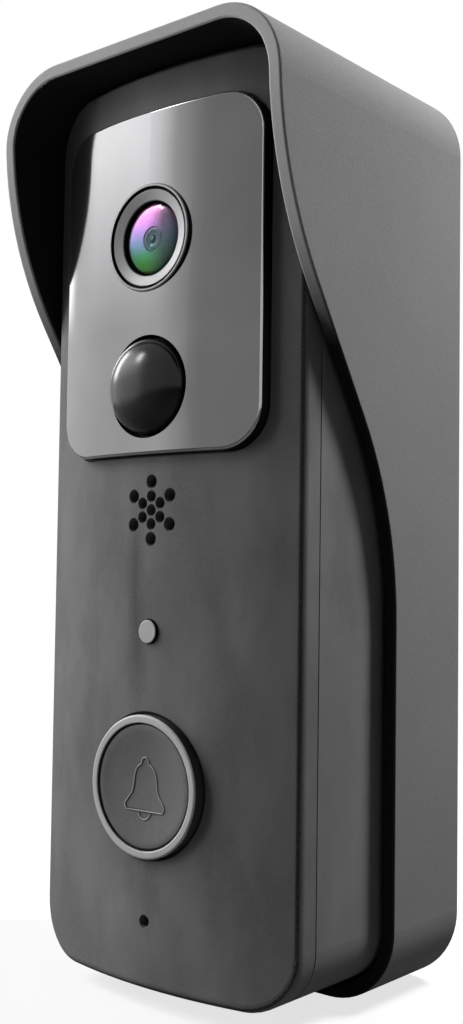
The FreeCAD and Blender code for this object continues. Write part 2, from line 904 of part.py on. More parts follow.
# Crowned panel with a rounded front edge and the two round openings
def make_front_panel():
    panel = crowned_block(panel_width, panel_height, panel_corner, panel_crest, seam_depth, 0, panel_centre)
    panel = panel.makeFillet(panel_edge_round, crown_edges(panel, panel_crest))
    return cut(panel, [
        behind_crown(panel_back_crest),
        disc(lens_ring_radius + touch_gap, panel_crest, seam_depth, 0, lens_z),
        disc(pir_hole_radius, panel_crest, seam_depth, 0, pir_z),
    ])


def make_panel_tape():
    width = panel_width - 2 * panel_gap
    height = panel_height - 2 * panel_gap
    corner = panel_corner - panel_gap
    outer = block(width, height, corner, crest_depth, seam_depth, 0, panel_centre)
    inner = block(width - 2 * tape_width, height - 2 * tape_width, corner - tape_width,
                  crest_depth, seam_depth, 0, panel_centre)
    return outer.cut(inner).common(crown_skin(panel_back_crest, recess_crest))


# Trim ring with a thin lip, a groove and a broad shelf that slopes in to the outer lens
def make_lens_ring():
    front = panel_crest + lens_ring_proud
    shelf = front - lens_shelf_drop
    groove = front - lens_groove_depth
    lip = lens_ring_radius - lens_ring_lip
    shelf_radius = lip - lens_groove_width
    glass = lens_glass_radius + touch_gap
    back = light_board_depth + lens_ring_lift
    throat = barrel_radius + barrel_gap
    profile = [(lens_ring_radius, back)]
    profile += outer_round(lens_ring_radius, front, lens_ring_round)
    profile += [(lip, front), (lip, groove), (shelf_radius, groove)]
    profile += outer_round(shelf_radius, shelf, lens_ring_round)
    profile += inner_round(glass, shelf - lens_shelf_slope, lens_ring_round)
    profile += [(glass, lens_glass_back), (throat, lens_glass_back), (throat, back)]
    return turned(profile, 0, lens_z)


def make_lens_window():
    hollow = lens_glass_radius - lens_glass_thick
    return turned([
        (lens_glass_radius, lens_glass_back),
        (lens_glass_radius, lens_glass_depth),
        to_tip(lens_glass_radius, lens_glass_rise, lens_glass_depth),
        (0, lens_glass_back + lens_glass_rise),
        to_rim(hollow, lens_glass_rise, lens_glass_back),
    ], 0, lens_z)


def make_lens_barrel():
    mouth = (barrel_radius + barrel_bore) / 2
    hole = barrel_bore - barrel_lip
    profile = [(barrel_radius, barrel_back)]
    profile += outer_round(barrel_radius, barrel_front, (barrel_radius - mouth) / 2)
    seat = barrel_back + barrel_lip
    profile += [(mouth, barrel_front), (barrel_bore, barrel_front - barrel_lip)]
    profile += [(barrel_bore, seat), (hole, seat), (hole, barrel_back)]
    return turned(profile, 0, lens_z)


def make_lens_elements():
    radius = barrel_bore - touch_gap
    elements = []
    for back in (barrel_back + barrel_lip, barrel_back + barrel_lip + element_spacing):
        edge = back + element_thick
        profile = [(0, back), (radius, back), (radius, edge), to_tip(radius, element_rise, edge)]
        elements.append(turned(profile, 0, lens_z))
    return Part.makeCompound(elements)


def make_lens_holder():
    front = holder_back + holder_height
    base = block(holder_width, holder_width, holder_corner, front, holder_back, 0, lens_z)
    room = block(sensor_width + 2 * sensor_margin, sensor_height + 2 * sensor_margin, sensor_margin,
                 barrel_back, holder_back, 0, lens_z)
    return cut(base, [disc(barrel_radius + touch_gap, front, barrel_back, 0, lens_z), room])


def make_image_sensor():
    front = holder_back + sensor_thick
    return block(sensor_width, sensor_height, sensor_margin / 2, front, holder_back, 0, lens_z)


def make_camera_board():
    back = holder_back - camera_board_thick
    return block(camera_board_width, camera_board_height, holder_corner, holder_back, back, 0, lens_z)


# Plug between the camera's board and the main board
def make_camera_plug():
    front = holder_back - camera_board_thick
    return block(camera_plug_width, camera_plug_length, sensor_margin, front, board_front, 0, lens_z)


def make_light_board():
    back = light_board_depth - light_board_thick
    board = hoop(light_board_radius, lens_ring_radius + panel_gap, light_board_depth, back, 0, lens_z)
    hole = small_screw_radius + thread_clearance
    return cut(board, [disc(hole, light_board_depth, back, x, z) for x, z in light_post_places()])


def make_night_lights():
    shoulder = panel_back_crest - night_light_gap - night_light_tip
    profile = [
        (0, light_board_depth), (night_light_radius, light_board_depth), (night_light_radius, shoulder),
        to_tip(night_light_radius, night_light_tip, shoulder),
    ]
    return Part.makeCompound([turned(profile, x, z) for x, z in night_light_places()])


def make_light_screws():
    seat = light_board_depth - light_board_thick
    return Part.makeCompound([
        small_screw(light_screw_length, small_screw_head_height, seat, x, z) for x, z in light_post_places()
    ])


def pir_flange_front():
    return crown_depth(pir_dome_radius + pir_flange, inside_crest) - pir_flange_gap


# Hollow dome on a flange that is glued behind the case wall
def make_pir_dome():
    front = pir_flange_front()
    back = front - pir_flange_thick
    base = crest_depth + pir_base_lift
    bore = pir_dome_radius - pir_wall
    rise = pir_dome_rise - pir_wall
    return turned([
        (pir_dome_radius + pir_flange, back),
        (pir_dome_radius + pir_flange, front),
        (pir_dome_radius, front),
        (pir_dome_radius, base),
        to_tip(pir_dome_radius, pir_dome_rise, base),
        (0, base + rise),
        to_rim(bore, rise, base),
        (bore, back),
    ], 0, pir_z)


def pir_can_front():
    return pir_flange_front() - pir_flange_thick - pir_air


def make_pir_sensor():
    front = pir_can_front()
    back = front - pir_can_length
    cap = pir_can_radius - pir_can_rim
    can = turned([
        (0, back), (pir_can_radius, back), (pir_can_radius, back + pir_can_rim), (cap, back + pir_can_rim),
        (cap, front), (0, front),
    ], 0, pir_z)
    floor = front - pir_window_sink
    window = block(pir_window_width, pir_window_height, pir_window_sink, front, floor, 0, pir_z)
    return can.cut(window)


# Socket that holds the sensor up from the board
def make_pir_holder():
    seat = pir_can_front() - pir_can_length
    front = seat + pir_holder_lip
    inner = pir_can_radius + touch_gap
    ledge = inner - pir_holder_lip
    outer = inner + pir_holder_wall
    return turned([
        (ledge, board_front), (outer, board_front), (outer, front),
        (inner, front), (inner, seat), (ledge, seat),
    ], 0, pir_z)


def make_speaker_mesh():
    cloth = disc(mesh_radius - touch_gap, crest_depth, speaker_depth, 0, speaker_z)
    return cloth.common(crown_skin(inside_crest, inside_crest - mesh_thick))


def make_speaker_foam():
    loop = hoop(speaker_radius, mesh_radius, crest_depth, speaker_depth, 0, speaker_z)
    return loop.common(behind_crown(inside_crest))


# Pressed basket with a rim, sloping sides and a hole for the magnet's pole
def make_speaker_frame():
    floor = speaker_back + speaker_wall
    waist = speaker_radius - speaker_wall
    rim_inner = speaker_radius - foam_width
    pole = magnet_radius - speaker_rim
    return turned([
        (speaker_radius, speaker_depth), (speaker_radius, speaker_depth - speaker_rim), (waist, speaker_back),
        (pole, speaker_back), (pole, floor), (waist - speaker_wall, floor),
        (rim_inner, speaker_depth - speaker_rim), (rim_inner, speaker_depth),
    ], 0, speaker_z)


def make_speaker_cone():
    edge = speaker_depth - speaker_rim / 2
    outer = mesh_radius - touch_gap
    deep = edge - cone_rise
    return turned([
        (outer, edge), (outer, edge + cone_thick), (outer - speaker_rim, edge + cone_thick),
        (cone_cap_radius, deep + cone_thick), to_tip(cone_cap_radius, cone_cap_rise, deep + cone_thick),
        (0, deep + cone_cap_rise), to_rim(cone_cap_radius, cone_cap_rise, deep), (outer - speaker_rim, edge),
    ], 0, speaker_z)


def make_speaker_magnet():
    return disc(magnet_radius, speaker_back, speaker_back - magnet_thick, 0, speaker_z)


def make_speaker_pad():
    return disc(magnet_radius, speaker_back - magnet_thick, board_front, 0, speaker_z)


# Light pipe with a flange behind the case wall
def make_status_window():
    front = crest_depth + status_proud
    low = board_front + led_thick + led_gap
    flange = status_radius + status_flange
    flange_front = crown_depth(flange, inside_crest) - touch_gap
    profile = [
        (0, low), (status_radius, low), (status_radius, flange_front - status_flange_thick),
        (flange, flange_front - status_flange_thick), (flange, flange_front), (status_radius, flange_front),
    ]
    profile += outer_round(status_radius, front, status_round) + [(0, front)]
    return turned(profile, 0, status_z)


def make_status_led():
    return block(led_size, led_size, led_gap, board_front + led_thick, board_front, 0, status_z)


def make_microphone():
    return block(mic_width, mic_height, led_gap, board_front + mic_thick, board_front, 0, mic_z)


# Rubber tube from the microphone on the board to the hole in the case
def make_mic_tube():
    front = crown_depth(mic_tube_radius, inside_crest)
    return cut(disc(mic_tube_radius, front, board_front, 0, mic_z), [
        disc(mic_hole_radius, front, board_front, 0, mic_z),
        block(mic_width, mic_height, led_gap, board_front + mic_thick, board_front, 0, mic_z),
    ])


def make_button_ring():
    inner = button_ring_radius - button_ring_width
    profile = [(button_ring_radius, button_seat)]
    profile += outer_round(button_ring_radius, button_ring_depth, button_round)
    profile += inner_round(inner, button_ring_depth, button_round / 2)
    profile += [(inner, button_seat)]
    return turned(profile, 0, button_z)


# Outline of a hand bell: foot, waist, shoulders and knob
def bell_outline(depth):
    foot_z = button_z - bell_foot_drop

    def at(x, height):
        return vec(x, depth, foot_z + height)

    def side(sign):
        foot = at(sign * bell_foot, 0)
        flare = at(sign * ((bell_foot + bell_waist) / 2 - bell_flare), bell_waist_height / 2)
        waist = at(sign * bell_waist, bell_waist_height)
        shoulder = at(sign * bell_shoulder, bell_shoulder_height)
        bend_height = (bell_shoulder_height + bell_neck_height) / 2 + bell_shoulder_bulge
        bend = at(sign * ((bell_shoulder + bell_knob) / 2 + bell_shoulder_bulge), bend_height)
        neck = at(sign * bell_knob, bell_neck_height)
        skirt = Part.Arc(foot, flare, waist)
        return [skirt, Part.LineSegment(waist, shoulder), Part.Arc(shoulder, bend, neck)]

    left = at(-bell_knob, bell_neck_height)
    right = at(bell_knob, bell_neck_height)
    curves = side(1) + [Part.Arc(right, at(0, bell_height), left)] + side(-1)
    curves.append(Part.LineSegment(at(-bell_foot, 0), at(bell_foot, 0)))
    return Part.Wire(Part.__sortEdges__([curve.toShape() for curve in curves]))


# The solid that cuts the bell's line and its clapper into the cap, equally deep all over the dish
def bell_grooves():
    bottom = cap_depth - cap_dish - bell_groove
    foot_z = button_z - bell_foot_drop
    outer = bell_outline(bottom)
    band = Part.Face(outer).cut(Part.Face(outer.makeOffset2D(-bell_line)))
    prisms = [face.extrude(FreeCAD.Vector(0, bottom - cap_depth, 0)) for face in band.Faces]
    clapper = hoop(clapper_radius, clapper_radius - bell_line, cap_depth, bottom, 0, foot_z)
    prisms.append(clapper.cut(box(-bell_foot, bell_foot, cap_depth, bottom, foot_z, button_z)))
    dish_radius = cap_radius - cap_rim
    ball = (dish_radius ** 2 + cap_dish ** 2) / (2 * cap_dish)
    in_front = Part.makeSphere(ball, vec(0, bottom + ball, button_z))
    return Part.makeCompound(prisms).common(in_front)


def cap_stop_front():
    return crown_depth(cap_radius, inside_crest) - cap_stop_gap


def cap_stop_back():
    return cap_stop_front() - cap_stop_thick


def seal_front():
    return cap_stop_back() - cap_travel - seal_gap


# Dished cap with a skirt, a stop flange behind the case wall and a stem on the switch
def make_button_cap():
    dish_radius = cap_radius - cap_rim
    dish_middle = cap_middle(dish_radius, cap_dish, cap_depth - cap_dish)
    stem_end = plunger_front + touch_gap
    skirt_inner = skirt_radius - cap_skirt_wall
    profile = [
        (0, stem_end), (stem_radius, stem_end), (stem_radius, cap_back), (skirt_inner, cap_back),
        (skirt_inner, cap_stop_back()), (cap_radius, cap_stop_back()), (cap_radius, cap_stop_front()),
        (skirt_radius, cap_stop_front()), (skirt_radius, cap_back), (cap_radius, cap_back),
    ]
    profile += outer_round(cap_radius, cap_depth, cap_round)
    sag = 2 * cap_depth - cap_dish - dish_middle[1]
    profile += [(dish_radius, cap_depth), (0, cap_depth - cap_dish, dish_middle[0], sag)]
    return turned(profile, 0, button_z).cut(bell_grooves())


def make_button_seal():
    front = seal_front()
    back = front - seal_thick
    return hoop(button_ring_radius + seal_margin, stem_radius + touch_gap, front, back, 0, button_z)


def make_bell_switch():
    depth = switch_front - plunger_inside - cap_travel - plunger_room
    body = block(switch_size, switch_size, board_corner / 3, switch_front, board_front, 0, button_z)
    return body.cut(disc(plunger_radius + touch_gap, switch_front, depth, 0, button_z))


def make_bell_plunger():
    return disc(plunger_radius, plunger_front, switch_front - plunger_inside, 0, button_z)


# Main board with a tab at the bottom for the port, the reset switch and the microphone
def make_main_board():
    board = block(board_width, board_top - board_bottom, board_corner, board_front, board_back,
                  0, (board_top + board_bottom) / 2)
    tab_top = board_bottom + 2 * board_corner
    tab = block(board_tab_width, tab_top - board_tab_bottom, board_corner / 2, board_front, board_back,
                0, (tab_top + board_tab_bottom) / 2)
    hole = small_screw_radius + small_screw_gap
    holes = [disc(hole, board_front, board_back, x, z) for x, z in board_screw_places()]
    return cut(fuse([board, tab]), holes)


def make_board_screws():
    return Part.makeCompound([
        small_screw(board_screw_length, small_screw_head_height, board_front, x, z, toward_front=False)
        for x, z in board_screw_places()
    ])


def radio_centre():
    return board_top - radio_margin - radio_length / 2


def make_radio_can():
    back = board_back - radio_thick
    shell = block(radio_width, radio_length, 2 * radio_wall, board_back, back, 0, radio_centre())
    room = block(radio_width - 2 * radio_wall, radio_length - 2 * radio_wall, radio_wall,
                 board_back, back + radio_wall, 0, radio_centre())
    return shell.cut(room)


def make_processor():
    centre = radio_centre() - radio_length / 2 - chip_gap - chip_width / 2
    return block(chip_width, chip_width, radio_wall, board_back, board_back - chip_thick, 0, centre)


# Strip antenna glued under the top of the rear case
def make_antenna():
    top = body_top - case_wall
    front = seam_depth - antenna_margin
    return box(-antenna_width / 2, antenna_width / 2, front, front - antenna_length, top - antenna_thick, top)


def make_battery_cells():
    low = board_bottom + contact_room
    shoulder = low + cell_length - cell_cap_height
    cells = []
    for x in (-cell_x, cell_x):
        can = upright(cell_radius, x, cell_depth, low, shoulder)
        cap = upright(cell_cap_radius, x, cell_depth, shoulder, low + cell_length)
        cells.append(fuse([can, cap]))
    return Part.makeCompound(cells)


# Lower and upper face of each contact strip, which lies on an end wall of the bay
def contact_levels():
    return [(board_bottom, board_bottom + contact_thick), (bay_top - contact_thick, bay_top)]


def contact_tails(clearance):
    half = contact_tail / 2 + clearance
    return [
        box(-half, half, board_back, cell_depth, low - clearance, high + clearance)
        for low, high in contact_levels()
    ]


# Two strips that join the cells side by side, each with a tail to the board
def make_battery_contacts():
    reach = contact_room - touch_gap
    half = cell_x + contact_width / 2
    strips = []
    for (low, high), tail, start in zip(contact_levels(), contact_tails(0), (board_bottom, bay_top - reach)):
        strip = box(-half, half, cell_depth + contact_width / 2, cell_depth - contact_width / 2, low, high)
        bumps = [upright(contact_bump_radius, x, cell_depth, start, start + reach) for x in (-cell_x, cell_x)]
        strips.append(fuse([strip, tail] + bumps))
    return Part.makeCompound(strips)


# Shell and tongue of the charging port, on the back of the board's tab
def make_charging_port():
    low = flap_floor + touch_gap
    top = board_bottom - bay_wall - port_end_gap
    back_wall = 2 * port_wall
    shell = upright_block(port_width, port_thick, port_corner, low, top, port_x, port_depth)
    room = upright_block(port_width - 2 * port_wall, port_thick - 2 * port_wall, port_corner - port_wall,
                         low, top - back_wall, port_x, port_depth)
    half = port_tongue_width / 2
    tongue = box(port_x - half, port_x + half, port_depth + port_tongue / 2, port_depth - port_tongue / 2,
                 low + back_wall, top - port_wall)
    return fuse([shell.cut(room), tongue])


def make_reset_button():
    low = flap_floor + 2 * touch_gap
    top = reset_switch_low - reset_travel - touch_gap
    flange_low = body_bottom + case_wall + touch_gap
    flange_top = flange_low + reset_flange_thick
    pin = upright(reset_radius, reset_x, port_depth, low, top)
    flange = upright(reset_radius + reset_flange, reset_x, port_depth, flange_low, flange_top)
    return fuse([pin, flange])


def make_reset_switch():
    half = reset_switch_size / 2
    return box(reset_x - half, reset_x + half, board_back, board_back - reset_switch_size,
               reset_switch_low, reset_switch_low + reset_switch_size)


# Hinge pin of the flap, which stands out of both ends of its knuckle
def flap_pin(radius, reach):
    half = flap_width / 2 + flap_gap + reach
    start = vec(-half, hinge_depth, body_bottom + flap_thick / 2)
    return Part.makeCylinder(radius, 2 * half, start, FreeCAD.Vector(1, 0, 0))


# Rubber flap over the port, with its knuckle along the back edge and a grip at the front
def make_service_flap():
    front = port_depth + flap_length / 2
    half = flap_width / 2
    grip_front = front - flap_corner
    leaf = box(-half, half, front, hinge_depth, body_bottom, body_bottom + flap_thick)
    corners = [e for e in edges_at_depth(leaf, front) if e.BoundBox.XLength < 1e-4]
    leaf = leaf.makeFillet(flap_corner, corners)
    start = vec(-half, hinge_depth, body_bottom + flap_thick / 2)
    knuckle = Part.makeCylinder(flap_thick / 2, flap_width, start, FreeCAD.Vector(1, 0, 0))
    grip = box(-flap_grip_width / 2, flap_grip_width / 2, grip_front, grip_front - flap_thick,
               body_bottom, body_bottom + flap_grip_sink)
    return fuse([leaf, knuckle, flap_pin(flap_pin_radius, flap_pin_reach)]).cut(grip)


makers = {
    "rain_hood": make_rain_hood,
    "wall_bracket": make_wall_bracket,
    "lock_screw": make_lock_screw,
    "lock_insert": make_lock_insert,
    "front_case": make_front_case,
    "rear_case": make_rear_case,
    "case_seal": make_case_seal,
    "case_screws": make_case_screws,
    "front_panel": make_front_panel,
    "panel_tape": make_panel_tape,
    "lens_ring": make_lens_ring,
    "lens_window": make_lens_window,
    "lens_barrel": make_lens_barrel,
    "lens_elements": make_lens_elements,
    "lens_holder": make_lens_holder,
    "image_sensor": make_image_sensor,
    "camera_board": make_camera_board,
    "camera_plug": make_camera_plug,
    "light_board": make_light_board,
    "night_lights": make_night_lights,
    "light_screws": make_light_screws,
    "pir_dome": make_pir_dome,
    "pir_sensor": make_pir_sensor,
    "pir_holder": make_pir_holder,
    "speaker_mesh": make_speaker_mesh,
    "speaker_foam": make_speaker_foam,
    "speaker_frame": make_speaker_frame,
    "speaker_cone": make_speaker_cone,
    "speaker_magnet": make_speaker_magnet,
    "speaker_pad": make_speaker_pad,
    "status_window": make_status_window,
    "status_led": make_status_led,
    "microphone": make_microphone,
    "mic_tube": make_mic_tube,
    "button_ring": make_button_ring,
    "button_cap": make_button_cap,
    "button_seal": make_button_seal,
    "bell_switch": make_bell_switch,
    "bell_plunger": make_bell_plunger,
    "main_board": make_main_board,
    "board_screws": make_board_screws,
    "radio_can": make_radio_can,
    "processor": make_processor,
    "antenna": make_antenna,
    "battery_cells": make_battery_cells,
    "battery_contacts": make_battery_contacts,
    "battery_door": make_battery_door,
    "door_screw": make_door_screw,
    "charging_port": make_charging_port,
    "reset_button": make_reset_button,
    "reset_switch": make_reset_switch,
    "service_flap": make_service_flap,
}

for name, make in makers.items():
    shape = make()
    shape.exportStep("parts/" + name + ".step")
    print(name, "solids", len(shape.Solids), "volume", round(shape.Volume, 1))
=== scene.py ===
import bpy
import bmesh
import math
from mathutils import Matrix, Vector


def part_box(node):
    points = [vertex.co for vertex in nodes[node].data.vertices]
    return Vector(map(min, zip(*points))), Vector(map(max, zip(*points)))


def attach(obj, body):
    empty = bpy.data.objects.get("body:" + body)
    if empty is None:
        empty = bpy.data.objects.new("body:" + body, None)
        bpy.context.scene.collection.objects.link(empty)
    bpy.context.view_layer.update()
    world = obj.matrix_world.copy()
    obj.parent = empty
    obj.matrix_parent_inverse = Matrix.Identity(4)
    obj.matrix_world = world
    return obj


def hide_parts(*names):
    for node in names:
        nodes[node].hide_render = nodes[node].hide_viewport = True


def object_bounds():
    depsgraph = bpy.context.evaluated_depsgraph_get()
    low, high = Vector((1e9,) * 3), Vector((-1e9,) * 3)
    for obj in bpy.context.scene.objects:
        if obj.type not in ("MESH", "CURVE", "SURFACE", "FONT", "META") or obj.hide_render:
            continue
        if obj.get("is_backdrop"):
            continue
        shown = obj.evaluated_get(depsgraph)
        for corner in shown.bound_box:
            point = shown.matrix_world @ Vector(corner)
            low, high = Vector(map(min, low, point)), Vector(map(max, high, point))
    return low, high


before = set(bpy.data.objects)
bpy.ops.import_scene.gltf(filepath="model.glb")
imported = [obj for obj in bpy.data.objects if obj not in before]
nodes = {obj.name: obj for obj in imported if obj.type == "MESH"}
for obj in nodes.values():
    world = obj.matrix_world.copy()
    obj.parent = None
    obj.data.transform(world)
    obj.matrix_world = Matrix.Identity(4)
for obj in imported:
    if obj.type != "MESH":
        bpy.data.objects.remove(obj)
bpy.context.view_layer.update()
print("frame loaded,", len(nodes), "nodes")


def newFinish(name):
    finish = bpy.data.materials.new(name)
    finish.use_nodes = True
    tree = finish.node_tree
    place = tree.nodes.new("ShaderNodeTexCoord")
    return finish, tree, tree.nodes["Principled BSDF"], place.outputs["Object"]


def stretched(tree, place, scale):
    mapping = tree.nodes.new("ShaderNodeMapping")
    mapping.inputs["Scale"].default_value = scale
    tree.links.new(place, mapping.inputs["Vector"])
    return mapping.outputs["Vector"]


def cloudNoise(tree, place, scale, detail=3.0, roughness=0.5):
    noise = tree.nodes.new("ShaderNodeTexNoise")
    noise.inputs["Scale"].default_value = scale
    noise.inputs["Detail"].default_value = detail
    noise.inputs["Roughness"].default_value = roughness
    tree.links.new(place, noise.inputs["Vector"])
    return noise.outputs["Fac"]


def cellPits(tree, place, scale):
    cells = tree.nodes.new("ShaderNodeTexVoronoi")
    cells.inputs["Scale"].default_value = scale
    tree.links.new(place, cells.inputs["Vector"])
    return cells.outputs["Distance"]


def waveLines(tree, place, direction, scale, distortion=0.0):
    wave = tree.nodes.new("ShaderNodeTexWave")
    wave.bands_direction = direction
    wave.inputs["Scale"].default_value = scale
    wave.inputs["Distortion"].default_value = distortion
    wave.inputs["Detail Scale"].default_value = scale * 0.5
    tree.links.new(place, wave.inputs["Vector"])
    return wave.outputs["Fac"]


def splitAxes(tree, place):
    split = tree.nodes.new("ShaderNodeSeparateXYZ")
    tree.links.new(place, split.inputs["Vector"])
    return split.outputs


def distance(tree, place):
    reach = tree.nodes.new("ShaderNodeVectorMath")
    reach.operation = "LENGTH"
    tree.links.new(place, reach.inputs[0])
    return reach.outputs["Value"]


def spread(tree, value, low, high, fromLow=0.3, fromHigh=0.7):
    node = tree.nodes.new("ShaderNodeMapRange")
    node.inputs["From Min"].default_value = fromLow
    node.inputs["From Max"].default_value = fromHigh
    node.inputs["To Min"].default_value = low
    node.inputs["To Max"].default_value = high
    tree.links.new(value, node.inputs["Value"])
    return node.outputs["Result"]


def combined(tree, operation, first, second):
    node = tree.nodes.new("ShaderNodeMath")
    node.operation = operation
    for socket, value in zip(node.inputs, (first, second)):
        if isinstance(value, bpy.types.NodeSocket):
            tree.links.new(value, socket)
        else:
            socket.default_value = value
    return node.outputs["Value"]


def mixedColour(tree, factor, first, second):
    node = tree.nodes.new("ShaderNodeMix")
    node.data_type = "RGBA"
    tree.links.new(factor, node.inputs["Factor"])
    for socket, colour in ((node.inputs[6], first), (node.inputs[7], second)):
        if isinstance(colour, bpy.types.NodeSocket):
            tree.links.new(colour, socket)
        else:
            socket.default_value = (*colour, 1.0)
    return node.outputs[2]


def bumped(tree, height, strength, distance, under=None):
    bump = tree.nodes.new("ShaderNodeBump")
    bump.inputs["Strength"].default_value = strength
    bump.inputs["Distance"].default_value = distance
    tree.links.new(height, bump.inputs["Height"])
    if under:
        tree.links.new(under, bump.inputs["Normal"])
    return bump.outputs["Normal"]


def setShine(shader, look):
    shader.inputs["Metallic"].default_value = look.get("metal", 0.0)
    shader.inputs["Specular IOR Level"].default_value = look.get("gloss", 0.5)
    shader.inputs["Coat Weight"].default_value = look.get("coat", 0.0)
    shader.inputs["Coat Roughness"].default_value = look.get("coatRoughness", 0.03)


# A narrow mark that wanders down the face and fades at both ends
def runMark(tree, place, run):
    axes = splitAxes(tree, place)
    wander = combined(tree, "MULTIPLY", cloudNoise(tree, place, run["wanderScale"]), run["wander"])
    off = combined(tree, "SUBTRACT", combined(tree, "SUBTRACT", axes["X"], run["middle"]), wander)
    across = spread(tree, combined(tree, "ABSOLUTE", off, 0.0), run["strength"], 0, 0.0, run["halfWidth"])
    below = spread(tree, axes["Z"], 1, 0, run["top"] - run["fade"], run["top"])
    above = spread(tree, axes["Z"], 0, 1, run["foot"], run["foot"] + run["fade"])
    return combined(tree, "MULTIPLY", across, combined(tree, "MULTIPLY", below, above))


# Clouds of two tones, fine specks and a moulded grain: matt and satin plastics, rubber, foam
def mouldedFinish(name, look):
    finish, tree, shader, place = newFinish(name)
    cloud = cloudNoise(tree, place, look["cloudScale"], 4.0, 0.6)
    base = mixedColour(tree, spread(tree, cloud, 0, 1), look["dark"], look["light"])
    if "smear" in look:  # handling marks, longer than wide
        smear = cloudNoise(tree, stretched(tree, place, look["smearStretch"]), 1.0, 3.0, 0.55)
        smeared = spread(tree, smear, 0, look["smear"], *look["smearReach"])
        base = mixedColour(tree, smeared, base, look["smearColour"])
    if "rub" in look:  # darker rubbed streaks
        rub = cloudNoise(tree, stretched(tree, place, look["rubStretch"]), 1.0, 4.0, 0.62)
        rubbed = spread(tree, rub, 0, look["rub"], *look["rubReach"])
        base = mixedColour(tree, rubbed, base, look["rubColour"])
    if "run" in look:  # a narrow dark mark down the face below the speaker
        base = mixedColour(tree, runMark(tree, place, look["run"]), base, look["run"]["colour"])
    speck = cloudNoise(tree, place, look["speckScale"], 2.0, 0.6)
    base = mixedColour(tree, spread(tree, speck, 0, look["speck"]), base, look["speckColour"])
    # Painted shadow: the colour turns darker towards the wall
    if "deepFrom" in look:  # darkens towards the wall
        deep = spread(tree, splitAxes(tree, place)["Y"], 0, 1, look["deepFrom"], look["deepTo"])
        base = mixedColour(tree, deep, base, look["paintedShadowColour"])
    tree.links.new(base, shader.inputs["Base Color"])
    tree.links.new(spread(tree, cloud, *look["roughness"]), shader.inputs["Roughness"])
    grain = cloudNoise(tree, place, look["grainScale"], 3.0, 0.65)
    pits = cellPits(tree, place, look["grainScale"] * 0.7)
    fine = bumped(tree, grain, look["grain"], look["grainDepth"])
    tree.links.new(bumped(tree, pits, look["grain"] * 0.5, look["grainDepth"], fine), shader.inputs["Normal"])
    setShine(shader, look)
    return finish


hairDepth = 0.00002


# Polished or satin surfaces with faint waviness and hair marks
def polishedFinish(name, look):
    finish, tree, shader, place = newFinish(name)
    cloud = cloudNoise(tree, place, look["cloudScale"], 3.0, 0.5)
    base = mixedColour(tree, spread(tree, cloud, 0, 1), look["dark"], look["light"])
    tree.links.new(base, shader.inputs["Base Color"])
    tree.links.new(spread(tree, cloud, *look["roughness"]), shader.inputs["Roughness"])
    ripple = bumped(tree, cloudNoise(tree, place, look["rippleScale"], 2.0), look["ripple"], look["rippleDepth"])
    hair = cloudNoise(tree, stretched(tree, place, look["hairStretch"]), 1.0, 2.0, 0.7)
    tree.links.new(bumped(tree, hair, look["hair"], hairDepth, ripple), shader.inputs["Normal"])
    setShine(shader, look)
    return finish


def paint(names, finish):
    for name in names:
        for materialSlot in nodes[name].material_slots:
            materialSlot.material = finish


def paintFaces(owner, finish, chosen):
    owner.data.materials.append(finish)
    for face in owner.data.polygons:
        if chosen(face):
            face.material_index = len(owner.data.materials) - 1


# Chooses faces by how they turn: -1 looks to the front, 0 sideways, 1 to the wall
def facing(low, high):
    return lambda face: low < face.normal.y < high


# The rain hood: textured outside; a satin rim painted lighter as if lit, fading to painted shadow towards the wall;
# and painted shade, near black, on the inside where it shades the doorbell
hoodLook = {"dark": (0.138, 0.138, 0.141), "light": (0.166, 0.166, 0.168), "cloudScale": 26.0,
            "speck": 0.35, "speckScale": 2600.0, "speckColour": (0.235, 0.235, 0.235),
            "roughness": (0.60, 0.70), "grain": 0.30, "grainDepth": 0.00006, "grainScale": 3200.0, "gloss": 0.12}
# Painted light and shadow: the rim lighter than the hood as if lit, fading to painted shadow towards the wall
hoodRimPaintedLightLook = dict(hoodLook, dark=(0.27, 0.27, 0.272), light=(0.315, 0.315, 0.317), roughness=(0.48, 0.56),
                   grain=0.15, gloss=0.08, deepFrom=-0.044, deepTo=-0.034, paintedShadowColour=(0.010, 0.010, 0.010))
# Painted shade: the inside faces near black, where the hood shades the doorbell
hoodInsidePaintedShadeLook = dict(hoodLook, dark=(0.014, 0.014, 0.015), light=(0.020, 0.020, 0.021), speck=0.2,
                     speckColour=(0.035, 0.035, 0.035), gloss=0.03)
hoodFaces = {"turnedIn": -0.002, "insideFrom": -0.003, "rimTurn": -0.35, "rimFrom": -0.004}


def facesInward(face):
    middle, normal = face.center, face.normal
    turn = normal.x * middle.x + normal.z * middle.z
    return turn < hoodFaces["turnedIn"] and middle.y < hoodFaces["insideFrom"]


def isHoodRim(face):
    return face.normal.y < hoodFaces["rimTurn"] and face.center.y < hoodFaces["rimFrom"]


hood = nodes["rain_hood"]
paint(["rain_hood"], mouldedFinish("hoodPlastic", hoodLook))
paintFaces(hood, mouldedFinish("hoodInsidePaintedShade", hoodInsidePaintedShadeLook), facesInward)
paintFaces(hood, mouldedFinish("hoodRimSatinPaintedLight", hoodRimPaintedLightLook), isHoodRim)

